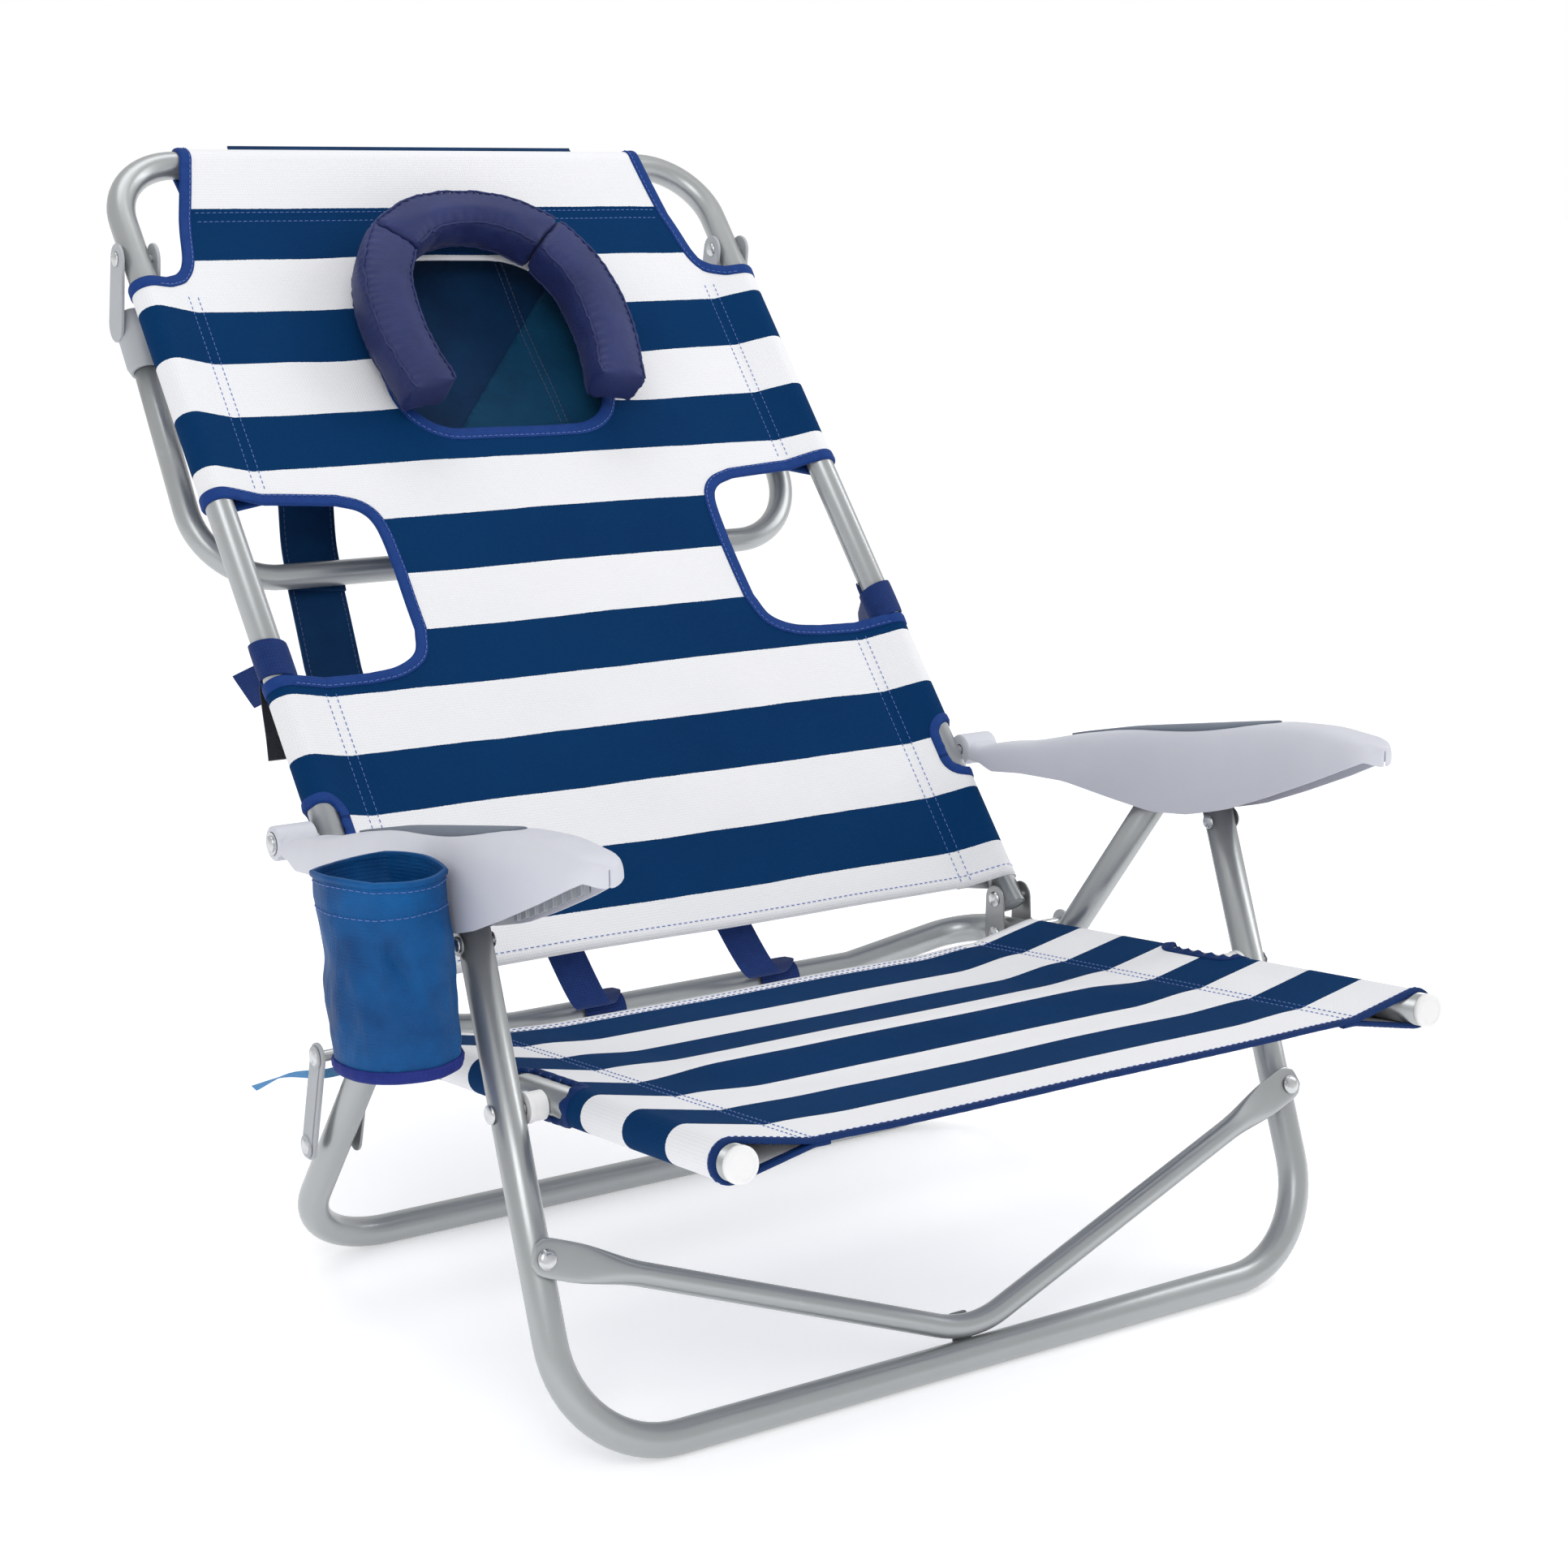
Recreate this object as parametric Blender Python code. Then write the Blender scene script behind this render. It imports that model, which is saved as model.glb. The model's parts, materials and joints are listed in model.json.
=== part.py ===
"""Folding beach chair: steel tube frames, sling fabric, moulded arms and a prop leg behind the back.

Metres, +Z up. The chair faces -Y. The origin is on the floor under the middle of the front ground bar.
Each moving piece has its object origin on the axis that it turns about.
"""

import math

import bmesh
import bpy
import numpy as np
from mathutils import Vector

# ---- driving dimensions -------------------------------------------------------------------------
TUBE_R = 0.011  # main tubes, 22 mm
WALL = 0.001
TUBE_SIDES = 12
GAP = 0.0003  # clearance between neighbouring pieces
FACET = math.cos(math.pi / TUBE_SIDES)

FRONT_X = 0.306  # front leg half width
FRONT_LEAN = math.radians(20.5)
REAR_X = 0.304
REAR_GROUND_Y = 0.4229
LEG_BEND_R = 0.075
GROUND_Z = TUBE_R * FACET  # so that a facet of each ground bar rests on the floor

SEAT_X = 0.2696
SEAT_FRONT = (-0.1344, 0.2371)  # y, z of the tube axis at the front caps
SEAT_SLOPE = math.radians(5.98)  # down towards the rear
SEAT_REAR_T = 0.505  # rear bar, along the seat from the front caps
SEAT_BAR_DIP = 0.018
SEAT_FABRIC_T = (0.010, 0.425)

HINGE = (0.3175, 0.2170)  # back hinge axis, y and z
SEAT_REAR_PIVOT = (0.3170, 0.1890)  # bolt that holds the hinge bracket, and the link's upper axis
BACK_X = 0.2706
BACK_ANGLE = math.radians(50.03)
BACK_LENGTH = 0.7416
BACK_BEND_R = 0.058
BACK_FABRIC_S = (0.020, 0.622)

SEAT_PIVOT_Z = 0.2151  # where the front legs cross the seat tubes
FRONT_PIN_Z = 0.3145  # rivet at the top of the front legs
FRONT_TOP_Z = 0.352
LEG_HINGE = (0.1620, 0.3450)  # top pin of the rear legs
LINK_RIVET = (0.3380, 0.1195)  # link's lower end, on the rear legs

ARM_BOLT = (0.4040, 0.3200)
ARM_X = 0.304
ARM_WALL = 0.0018
BOSS_R = 0.0125

PROP_PIVOT_S = 0.649  # along the back from its hinge
PROP_R = 0.010
PROP_BAR = (0.391, -0.0655)  # distance along the back, and behind it
PROP_TOP = (0.622, -0.0405)

BRACE_R = 0.008
BRACE_HEIGHT = 0.1268  # along the front legs, from the ground bar
FABRIC = 0.0012
SEAM_X = 0.212  # where the side sleeves are sewn shut
BOLT_R = 0.004
BOLT_HOLE_R = 0.0047
RIVET_R = 0.0035
RIVET_HOLE_R = 0.0041

TOP, BOTTOM = 1, 2  # columns of the arm stations


# ---- places in the side view --------------------------------------------------------------------
def seat_point(t, n=0.0, x=0.0):
    """A point t along the seat from its front caps and n above the tubes' axis."""
    c, s = math.cos(SEAT_SLOPE), math.sin(SEAT_SLOPE)
    return Vector((x, SEAT_FRONT[0] + t * c + n * s, SEAT_FRONT[1] - t * s + n * c))


def back_point(s, n=0.0, x=0.0):
    """A point s up the back from its hinge and n in front of the tubes' axis."""
    c, d = math.cos(BACK_ANGLE), math.sin(BACK_ANGLE)
    return Vector((x, HINGE[0] + s * c - n * d, HINGE[1] + s * d + n * c))


def front_leg_point(q, n=0.0, x=0.0):
    """A point q up the front legs from the ground bar's axis and n in front of them."""
    c, s = math.cos(FRONT_LEAN), math.sin(FRONT_LEAN)
    return Vector((x, q * s - n * c, GROUND_Z + q * c + n * s))


def front_leg_at(z, x=0.0):
    return front_leg_point((z - GROUND_Z) / math.cos(FRONT_LEAN), 0.0, x)


def rear_leg_at(z, x=0.0):
    slope = (LEG_HINGE[0] - REAR_GROUND_Y) / (LEG_HINGE[1] - GROUND_Z)
    return Vector((x, REAR_GROUND_Y + slope * (z - GROUND_Z), z))


def at(place, x=0.0):
    """A side view place (y, z) as a point."""
    return Vector((x, place[0], place[1]))


SEAT_PIVOT = front_leg_at(SEAT_PIVOT_Z)
PROP_PIVOT = back_point(PROP_PIVOT_S)


# ---- scene and materials ------------------------------------------------------------------------
def clear_scene():
    for obj in list(bpy.data.objects):
        bpy.data.objects.remove(obj, do_unlink=True)


def principled(name, colour, roughness, metallic=0.0):
    material = bpy.data.materials.new(name)
    material.use_nodes = True
    shader = material.node_tree.nodes["Principled BSDF"]
    shader.inputs["Base Color"].default_value = (*colour, 1.0)
    shader.inputs["Roughness"].default_value = roughness
    shader.inputs["Metallic"].default_value = metallic
    material.diffuse_color = (*colour, 1.0)
    return material


# ---- meshes -------------------------------------------------------------------------------------
def add_solid(name, points, faces, material, origin=(0.0, 0.0, 0.0)):
    """An object from points and faces in world coordinates, faces turned outwards."""
    origin = Vector(origin)
    mesh = bpy.data.meshes.new(name)
    mesh.from_pydata([Vector(point) - origin for point in points], [], faces)
    shape = bmesh.new()
    shape.from_mesh(mesh)
    bmesh.ops.recalc_face_normals(shape, faces=shape.faces)
    if shape.calc_volume(signed=True) < 0:
        bmesh.ops.reverse_faces(shape, faces=shape.faces)
    shape.to_mesh(mesh)
    shape.free()
    mesh.shade_smooth()
    mesh.set_sharp_from_angle(angle=math.radians(35))
    if material:
        mesh.materials.append(material)
    obj = bpy.data.objects.new(name, mesh)
    obj.location = origin
    bpy.context.scene.collection.objects.link(obj)
    return obj


def combine(obj, helpers, operation):
    """Boolean obj with each helper, which is hidden and stays as a guide."""
    for helper in helpers:
        helper.hide_render = True
        helper.display_type = "WIRE"
        modifier = obj.modifiers.new(helper.name, "BOOLEAN")
        modifier.operation = operation
        modifier.solver = "EXACT"
        modifier.object = helper
    return obj


def cut(obj, *helpers):
    return combine(obj, helpers, "DIFFERENCE")


def join(obj, *helpers):
    return combine(obj, helpers, "UNION")


def filleted(corners, radii, steps=5):
    """The corners as a path, each inner one rounded by an arc of its radius."""
    corners = [Vector(corner) for corner in corners]
    path = [corners[0]]
    for before, corner, after, radius in zip(corners, corners[1:], corners[2:], radii):
        to_before = (before - corner).normalized()
        to_after = (after - corner).normalized()
        half = to_before.angle(to_after) / 2
        centre = corner + (to_before + to_after).normalized() * (radius / math.sin(half))
        start = corner + to_before * (radius / math.tan(half)) - centre
        end = corner + to_after * (radius / math.tan(half)) - centre
        turn = start.angle(end)
        for k in range(steps + 1):
            a = turn * k / steps
            arc = (start * math.sin(turn - a) + end * math.sin(a)) / math.sin(turn)
            path.append(centre + arc)
    path.append(corners[-1])
    return path


def frames_along(path):
    """Tangent and two normals at each point of the path, carried along without twist."""
    count = len(path)
    frames = []
    normal = None
    for k, point in enumerate(path):
        ahead = path[min(k + 1, count - 1)] - point
        behind = point - path[max(k - 1, 0)]
        tangent = (ahead.normalized() + behind.normalized()).normalized()
        if normal is None:
            normal = tangent.orthogonal()
        normal = (normal - tangent * normal.dot(tangent)).normalized()
        frames.append((tangent, normal, tangent.cross(normal)))
    return frames


def tube(name, path, radius, material, origin=(0, 0, 0), flat_towards=None, squeeze=None):
    """A hollow tube along the path. flat_towards = (index, direction) turns a facet that way there.

    squeeze(k) gives the share of the radius kept along the flattened direction at point k.
    """
    frames = frames_along(path)
    turn = 0.0
    if flat_towards:
        _, normal, binormal = frames[flat_towards[0]]
        direction = Vector(flat_towards[1])
        turn = math.atan2(direction.dot(binormal), direction.dot(normal))
    step = 2 * math.pi / TUBE_SIDES
    points = []
    for ring_radius in (radius, radius - WALL):
        for k, (point, (_, normal, binormal)) in enumerate(zip(path, frames)):
            depth = ring_radius
            if squeeze:
                depth = radius * squeeze(k) - (radius - ring_radius)
            for j in range(TUBE_SIDES):
                a = step * (j + 0.5)
                along = math.cos(a) * depth
                across = math.sin(a) * ring_radius
                flat = normal * math.cos(turn) + binormal * math.sin(turn)
                side = binormal * math.cos(turn) - normal * math.sin(turn)
                points.append(point + flat * along + side * across)
    rings = len(path)
    inner = rings * TUBE_SIDES
    faces = []
    for j in range(TUBE_SIDES):
        j2 = (j + 1) % TUBE_SIDES
        for k in range(rings - 1):
            a, b = k * TUBE_SIDES, (k + 1) * TUBE_SIDES
            faces.append((a + j, a + j2, b + j2, b + j))
            faces.append((inner + a + j, inner + b + j, inner + b + j2, inner + a + j2))
        last = (rings - 1) * TUBE_SIDES
        faces.append((j, inner + j, inner + j2, j2))
        faces.append((last + j, last + j2, inner + last + j2, inner + last + j))
    return add_solid(name, points, faces, material, origin)


def turned(name, start, direction, profile, material=None, origin=None, sides=12, ring=False):
    """A turned solid: profile is (distance along the axis, radius). A ring's profile is a loop."""
    axis = Vector(direction).normalized()
    normal = Vector((0.0, 0.0, 1.0)) if abs(axis.z) < 0.9 else Vector((0.0, 1.0, 0.0))
    normal = (normal - axis * normal.dot(axis)).normalized()
    binormal = axis.cross(normal)
    points = []
    for distance, radius in profile:
        for j in range(sides):
            a = 2 * math.pi * j / sides
            spoke = normal * math.cos(a) + binormal * math.sin(a)
            points.append(Vector(start) + axis * distance + spoke * radius)
    count = len(profile)
    faces = []
    for k in range(count if ring else count - 1):
        a, b = k * sides, ((k + 1) % count) * sides
        for j in range(sides):
            j2 = (j + 1) % sides
            faces.append((a + j, a + j2, b + j2, b + j))
    if not ring:
        faces.append(tuple(range(sides)))
        faces.append(tuple((count - 1) * sides + j for j in range(sides)))
    return add_solid(name, points, faces, material, start if origin is None else origin)


def collar(name, place, side, x_range, radii, material, origin=None):
    """A ring round a crosswise axis, between two distances from the chair's middle."""
    (near, far), (inner, outer) = x_range, radii
    loop = ((0, inner), (0, outer), (far - near, outer), (far - near, inner))
    start = at(place, side * near)
    return turned(name, start, (side, 0, 0), loop, material, origin, 16, ring=True)


def crosswise_pin(name, place, side, steps, material=None, origin=None, sides=10):
    """A pin along X. steps = ((distance from the middle, radius), ...), going outwards."""
    first = steps[0][0]
    profile = [(x - first, radius) for x, radius in steps]
    return turned(name, at(place, side * first), (side, 0, 0), profile, material, origin, sides)


def headed(x_in, x_out, shaft, head, thickness):
    """Profile steps of a pin with a head at each end: x_in and x_out are the heads' inner faces."""
    return (
        (x_in - thickness, head * 0.75),
        (x_in - thickness * 0.5, head),
        (x_in, head),
        (x_in, shaft),
        (x_out, shaft),
        (x_out, head),
        (x_out + thickness * 0.5, head),
        (x_out + thickness, head * 0.75),
    )


def hole(name, place, side, x_range, radius=BOLT_HOLE_R):
    near, far = x_range
    return crosswise_pin(name, place, side, ((near, radius), (far, radius)), sides=8)


def extruded(name, outline, place, span, material=None, origin=(0, 0, 0)):
    """The outline (a, b) drawn at each end of span by place(a, b, c) and filled between."""
    count = len(outline)
    points = [place(a, b, c) for c in span for a, b in outline]
    layers = len(span)
    faces = [tuple(range(count)), tuple((layers - 1) * count + j for j in range(count))]
    for layer in range(layers - 1):
        low, high = layer * count, (layer + 1) * count
        for j in range(count):
            j2 = (j + 1) % count
            faces.append((low + j, low + j2, high + j2, high + j))
    return add_solid(name, points, faces, material, origin)


def side_plate(name, outline, x_range, material, origin=(0, 0, 0)):
    """A flat plate: its outline is in the side view (y, z) and its thickness is along X."""
    return extruded(name, outline, lambda a, b, c: Vector((c, a, b)), x_range, material, origin)


def capsule(first, second, r_first, r_second=None, steps=6):
    """The outline round two circles, as a plate with rounded ends has it."""
    r_second = r_second or r_first
    a = math.atan2(second[1] - first[1], second[0] - first[0])
    outline = []
    ends = ((second, r_second, a - math.pi / 2), (first, r_first, a + math.pi / 2))
    for (y, z), radius, start in ends:
        for k in range(steps + 1):
            angle = start + math.pi * k / steps
            outline.append((y + radius * math.cos(angle), z + radius * math.sin(angle)))
    return outline


def rounded(corners, radius, steps=4):
    """A closed outline with each corner rounded."""
    count = len(corners)
    outline = []
    for k, corner in enumerate(corners):
        here = Vector((*corner, 0.0))
        before = Vector((*corners[k - 1], 0.0))
        after = Vector((*corners[(k + 1) % count], 0.0))
        path = filleted((before, here, after), (radius,), steps)[1:-1]
        outline.extend((point.x, point.y) for point in path)
    return outline


def lofted(name, rings, material, origin=(0, 0, 0)):
    """A solid through closed rings of the same number of points, capped at both ends."""
    count = len(rings[0])
    points = [point for ring in rings for point in ring]
    faces = [tuple(range(count)), tuple((len(rings) - 1) * count + j for j in range(count))]
    for k in range(len(rings) - 1):
        for j in range(count):
            j2 = (j + 1) % count
            low, high = k * count, (k + 1) * count
            faces.append((low + j, low + j2, high + j2, high + j))
    return add_solid(name, points, faces, material, origin)


def sling_outline(half_width, steps=10):
    """Cross-section (x, n) of a sling: a panel whose two sides wrap a tube and are sewn back on it."""
    wrap = TUBE_R + GAP + FABRIC / 2
    layer = FABRIC / 2 + GAP
    side = [(SEAM_X, layer)]
    for k in range(steps + 1):
        a = math.radians(105 - 210 * k / steps)
        side.append((half_width + wrap * math.cos(a), wrap * math.sin(a)))
    side.append((SEAM_X, -layer))
    line = [(-x, n) for x, n in reversed(side)] + side
    shifted = ([], [])
    for k, (x, n) in enumerate(line):
        ahead = np.subtract(line[min(k + 1, len(line) - 1)], line[max(k - 1, 0)])
        across = np.array((-ahead[1], ahead[0])) / np.linalg.norm(ahead) * FABRIC / 2
        shifted[0].append((x + across[0], n + across[1]))
        shifted[1].append((x - across[0], n - across[1]))
    return shifted[0] + shifted[1][::-1]


# ---- seat ---------------------------------------------------------------------------------------
def make_seat(mats):
    sides = ((-1, "left"), (1, "right"))
    corners = [
        seat_point(0.003, 0, -SEAT_X),
        seat_point(SEAT_REAR_T, 0, -SEAT_X),
        seat_point(SEAT_REAR_T, -SEAT_BAR_DIP, -0.15),
        seat_point(SEAT_REAR_T, -SEAT_BAR_DIP, 0.15),
        seat_point(SEAT_REAR_T, 0, SEAT_X),
        seat_point(0.003, 0, SEAT_X),
    ]
    path = filleted(corners, (0.038, 0.06, 0.06, 0.038))
    frame = tube("seat_frame", path, TUBE_R, mats["steel"])
    fabric = extruded(
        "seat_fabric",
        sling_outline(SEAT_X),
        lambda a, b, c: seat_point(c, b, a),
        SEAT_FABRIC_T,
        mats["stripe"],
    )
    pivot = (SEAT_PIVOT.y, SEAT_PIVOT.z)
    for side, word in sides:
        cut(fabric, hole(f"{word}_fabric_cutter", pivot, side, (0.262, 0.30), 0.0225))
        cut(frame, hole(f"{word}_seat_pivot_cutter", pivot, side, (0.25, 0.29)))
        cut(frame, hole(f"{word}_bracket_cutter", SEAT_REAR_PIVOT, side, (0.25, 0.29)))
        start = seat_point(0.0028, 0, side * SEAT_X)
        profile = ((0, TUBE_R - 0.0016), (0, TUBE_R), (0.002, TUBE_R), (0.0045, TUBE_R * 0.7))
        towards_front = seat_point(-1.0) - seat_point(0.0)
        turned(f"{word}_seat_cap", start, towards_front, profile, mats["white_plastic"], sides=16)
        make_hinge_bracket(side, word, mats)
        make_seat_strap(side, word, mats)


def make_hinge_bracket(side, word, mats):
    outer, inner = BACK_X + 0.0122, BACK_X - 0.0142
    outline = capsule(SEAT_REAR_PIVOT, HINGE, 0.0125, 0.011)
    x_outer = (side * outer, side * (outer + 0.0015))
    x_inner = (side * inner, side * (inner + 0.0015))
    bracket = side_plate(f"{word}_hinge_bracket", outline, x_outer, mats["dark_steel"])
    inner_plate = side_plate(f"{word}_bracket_inner", outline, x_inner, None)
    y, z = SEAT_REAR_PIVOT
    web_half, web_low, web_high = 0.009, z - 0.0130, z - 0.0113
    web_outline = [(y - web_half, web_low), (y + web_half, web_low)]
    web_outline += [(y + web_half, web_high), (y - web_half, web_high)]
    x_web = (side * (inner + 0.0004), side * (outer + 0.0011))
    web = side_plate(f"{word}_bracket_web", web_outline, x_web, None)
    join(bracket, web, inner_plate)
    span = (inner - 0.005, outer + 0.006)
    cut(bracket, hole(f"{word}_bracket_hinge_cutter", HINGE, side, span))
    cut(bracket, hole(f"{word}_bracket_rivet_cutter", SEAT_REAR_PIVOT, side, span))
    rivet = headed(inner - GAP, outer + 0.0015 + GAP, BOLT_R, 0.0055, 0.0016)
    crosswise_pin(f"{word}_bracket_rivet", SEAT_REAR_PIVOT, side, rivet, mats["bolt"])


def make_seat_strap(side, word, mats):
    """A webbing loop round the rear bar with a short tail."""
    centre = seat_point(SEAT_REAR_T, -SEAT_BAR_DIP)
    place = (centre.y, centre.z)
    x_range = (0.060, 0.095)
    radii = (TUBE_R + 0.0005, TUBE_R + 0.0022)
    strap = collar(f"{word}_seat_strap", place, side, x_range, radii, mats["webbing"])
    y, z = centre.y, centre.z + TUBE_R + 0.0012
    tail_outline = ((y - 0.001, z), (y + 0.002, z), (y + 0.003, z + 0.020), (y + 0.001, z + 0.020))
    tail = side_plate(f"{word}_strap_tail", tail_outline, (side * 0.0601, side * 0.0949), None)
    join(strap, tail)


# ---- legs ---------------------------------------------------------------------------------------
def make_front_legs(mats):
    origin = SEAT_PIVOT
    top = front_leg_at(FRONT_TOP_Z)
    corners = [
        Vector((-FRONT_X, top.y, top.z)),
        front_leg_point(0, 0, -FRONT_X),
        front_leg_point(0, 0, FRONT_X),
        Vector((FRONT_X, top.y, top.z)),
    ]
    path = filleted(corners, (LEG_BEND_R, LEG_BEND_R), 6)
    frame = tube("front_leg_frame", path, TUBE_R, mats["steel"], origin, (7, (0, 0, -1)))
    pin_place = front_leg_at(FRONT_PIN_Z)
    pin_place = (pin_place.y, pin_place.z)
    pivot = (SEAT_PIVOT.y, SEAT_PIVOT.z)
    plate_x = FRONT_X + TUBE_R + 0.0005
    for side, word in ((-1, "left"), (1, "right")):
        cut(frame, hole(f"{word}_front_pivot_cutter", pivot, side, (0.29, 0.325)))
        cut(frame, hole(f"{word}_front_pin_cutter", pin_place, side, (0.29, 0.325), RIVET_HOLE_R))
        bolt = headed(SEAT_X - TUBE_R - 0.0006, FRONT_X + TUBE_R + 0.0004, BOLT_R, 0.0062, 0.0022)
        crosswise_pin(f"{word}_seat_bolt", pivot, side, bolt, mats["bolt"], origin)
        spacer_x = (SEAT_X + TUBE_R + 0.0006, FRONT_X - TUBE_R - 0.0004)
        collar(f"{word}_spacer", pivot, side, spacer_x, (BOLT_HOLE_R, 0.0095), mats["white_plastic"], origin)
        x_plate = (side * plate_x, side * (plate_x + 0.0012))
        outline = capsule(pin_place, LEG_HINGE, 0.0075)
        plate = side_plate(f"{word}_leg_plate", outline, x_plate, mats["steel"], origin)
        cut(plate, hole(f"{word}_plate_pin_cutter", pin_place, side, (0.31, 0.325), RIVET_HOLE_R))
        cut(plate, hole(f"{word}_plate_hinge_cutter", LEG_HINGE, side, (0.31, 0.325), RIVET_HOLE_R))
        rivet = headed(FRONT_X - TUBE_R - 0.0004, plate_x + 0.0012 + GAP, RIVET_R, 0.0052, 0.0014)
        crosswise_pin(f"{word}_leg_pin", pin_place, side, rivet, mats["bolt"], origin)
    make_brace(mats, origin)


def make_brace(mats, origin):
    """The V tube between the front legs, its ends flattened and riveted to their front faces."""
    end_n = TUBE_R + 0.0034
    low_q = TUBE_R + BRACE_R + 0.0006
    end_x = FRONT_X + 0.006
    left = front_leg_point(BRACE_HEIGHT + 0.002, end_n, -end_x)
    right = front_leg_point(BRACE_HEIGHT + 0.002, end_n, end_x)
    middle = front_leg_point(low_q - 0.0105, 0, 0)
    path = filleted((left, middle, right), (0.16,), 8)
    first, last = path[0], path[-1]
    shares = (0.02, 0.075, 0.14)
    path = (
        [first]
        + [first.lerp(path[1], share) for share in shares]
        + path[1:-1]
        + [last.lerp(path[-2], share) for share in reversed(shares)]
        + [last]
    )
    flat = {0: 0.33, 1: 0.33, 2: 0.36, 3: 0.75}

    def squeeze(k):
        return flat.get(min(k, len(path) - 1 - k), 1.0)

    facing = front_leg_point(0, 1) - front_leg_point(0, 0)
    brace = tube("front_brace", path, BRACE_R, mats["steel"], origin, (0, facing), squeeze)
    for side, word in ((-1, "left"), (1, "right")):
        start = front_leg_point(BRACE_HEIGHT - 0.001, TUBE_R + 0.0005, side * (FRONT_X - 0.0005))
        cutter = turned(f"{word}_brace_cutter", start, facing, ((0, RIVET_HOLE_R), (0.012, RIVET_HOLE_R)))
        cut(brace, cutter)
        profile = ((0, RIVET_R), (0.0062, RIVET_R), (0.0062, 0.0055), (0.0072, 0.0055), (0.0082, 0.0035))
        turned(f"{word}_brace_rivet", start, facing, profile, mats["bolt"], origin)
    outline = rounded(((-0.008, -0.007), (0.008, -0.007), (0.008, 0.028), (-0.008, 0.028)), 0.003, 3)
    span = (-TUBE_R - 0.0017, -TUBE_R - 0.0004)
    extruded(
        "brace_clip", outline, lambda a, b, c: front_leg_point(b, c, a), span, mats["steel"], origin
    )


def make_rear_legs(mats):
    origin = at(LEG_HINGE)
    top = rear_leg_at(LEG_HINGE[1] + 0.0075)
    corners = [
        Vector((-REAR_X, top.y, top.z)),
        Vector((-REAR_X, REAR_GROUND_Y, GROUND_Z)),
        Vector((REAR_X, REAR_GROUND_Y, GROUND_Z)),
        Vector((REAR_X, top.y, top.z)),
    ]
    path = filleted(corners, (LEG_BEND_R, LEG_BEND_R), 6)
    frame = tube("rear_leg_frame", path, TUBE_R, mats["steel"], origin, (7, (0, 0, -1)))
    outer = FRONT_X + TUBE_R + 0.0017 + GAP
    for side, word in ((-1, "left"), (1, "right")):
        cut(frame, hole(f"{word}_rear_top_cutter", LEG_HINGE, side, (0.285, 0.325), RIVET_HOLE_R))
        pin = headed(REAR_X - TUBE_R - 0.0006, outer, RIVET_R, 0.0052, 0.0012)
        crosswise_pin(f"{word}_leg_hinge_pin", LEG_HINGE, side, pin, mats["bolt"], origin)


def make_links(mats):
    """Each link is two plates on either side of a rear leg, held by a bolt with a spacer."""
    origin = at(SEAT_REAR_PIVOT)
    outline = capsule(LINK_RIVET, SEAT_REAR_PIVOT, 0.0100, 0.0100, 7)
    for side, word in ((-1, "left"), (1, "right")):
        spans = (("outer", (0.3232, 0.3262)), ("inner", (0.2893, 0.2913)))
        for which, (near, far) in spans:
            name = f"{word}_link_{which}"
            plate = side_plate(name, outline, (side * near, side * far), mats["grey_plastic"], origin)
            cut(plate, hole(f"{name}_cutter", SEAT_REAR_PIVOT, side, (near - 0.004, far + 0.004)))
        steps = (
            (0.2867, BOLT_R),
            (0.2913 + GAP, BOLT_R),
            (0.2913 + GAP, 0.0068),
            (0.3232 - GAP, 0.0068),
            (0.3232 - GAP, BOLT_R),
            (0.3262 + GAP, BOLT_R),
            (0.3262 + GAP, 0.0058),
            (0.3282, 0.0040),
        )
        crosswise_pin(f"{word}_link_bolt", SEAT_REAR_PIVOT, side, steps, mats["bolt"], origin)


# ---- back ---------------------------------------------------------------------------------------
def back_prism(name, outline, n_range):
    """A cutter or panel drawn on the back as (x, s) and extruded along the back's normal."""
    return extruded(name, outline, lambda a, b, c: back_point(b, c, a), n_range)


def make_hinge_pins(mats):
    for side, word in ((-1, "left"), (1, "right")):
        steps = headed(BACK_X - 0.0142 - GAP, BACK_X + 0.0137 + GAP, BOLT_R, 0.0058, 0.0016)
        crosswise_pin(f"{word}_hinge_pin", HINGE, side, steps, mats["bolt"])


def make_back(mats):
    origin = at(HINGE)
    corners = [
        back_point(-0.0075, 0, -BACK_X),
        back_point(BACK_LENGTH, 0, -BACK_X),
        back_point(BACK_LENGTH, 0, BACK_X),
        back_point(-0.0075, 0, BACK_X),
    ]
    path = filleted(corners, (BACK_BEND_R, BACK_BEND_R), 7)
    frame = tube("back_frame", path, TUBE_R, mats["steel"], origin)
    pivot = (PROP_PIVOT.y, PROP_PIVOT.z)
    span = (BACK_X - 0.02, BACK_X + 0.02)
    for side, word in ((-1, "left"), (1, "right")):
        cut(frame, hole(f"{word}_back_hinge_cutter", HINGE, side, span))
        cut(frame, hole(f"{word}_back_arm_cutter", ARM_BOLT, side, span))
        cut(frame, hole(f"{word}_back_prop_cutter", pivot, side, span, RIVET_HOLE_R))
    make_back_fabric(mats, origin)
    make_pillow(mats, origin)
    for side, word in ((-1, "left"), (1, "right")):
        tie_s = 0.282
        start = back_point(tie_s - 0.018, 0, side * BACK_X)
        inner, outer = TUBE_R + 0.0004, TUBE_R + 0.0026
        loop = ((0, inner), (0, outer), (0.036, outer), (0.036, inner))
        up = back_point(1) - back_point(0)
        turned(f"{word}_side_tie", start, up, loop, mats["webbing"], origin, 16, ring=True)
        near, far = 0.150, 0.198
        outline = ((near, 0.115), (far, 0.115), (far, 0.376), (near, 0.376))
        outline = [(side * x, s) for x, s in outline]
        lower = back_prism(f"{word}_strap_lower", outline, (-0.0815, -0.0785))
        lower.data.materials.append(mats["navy"])


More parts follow.
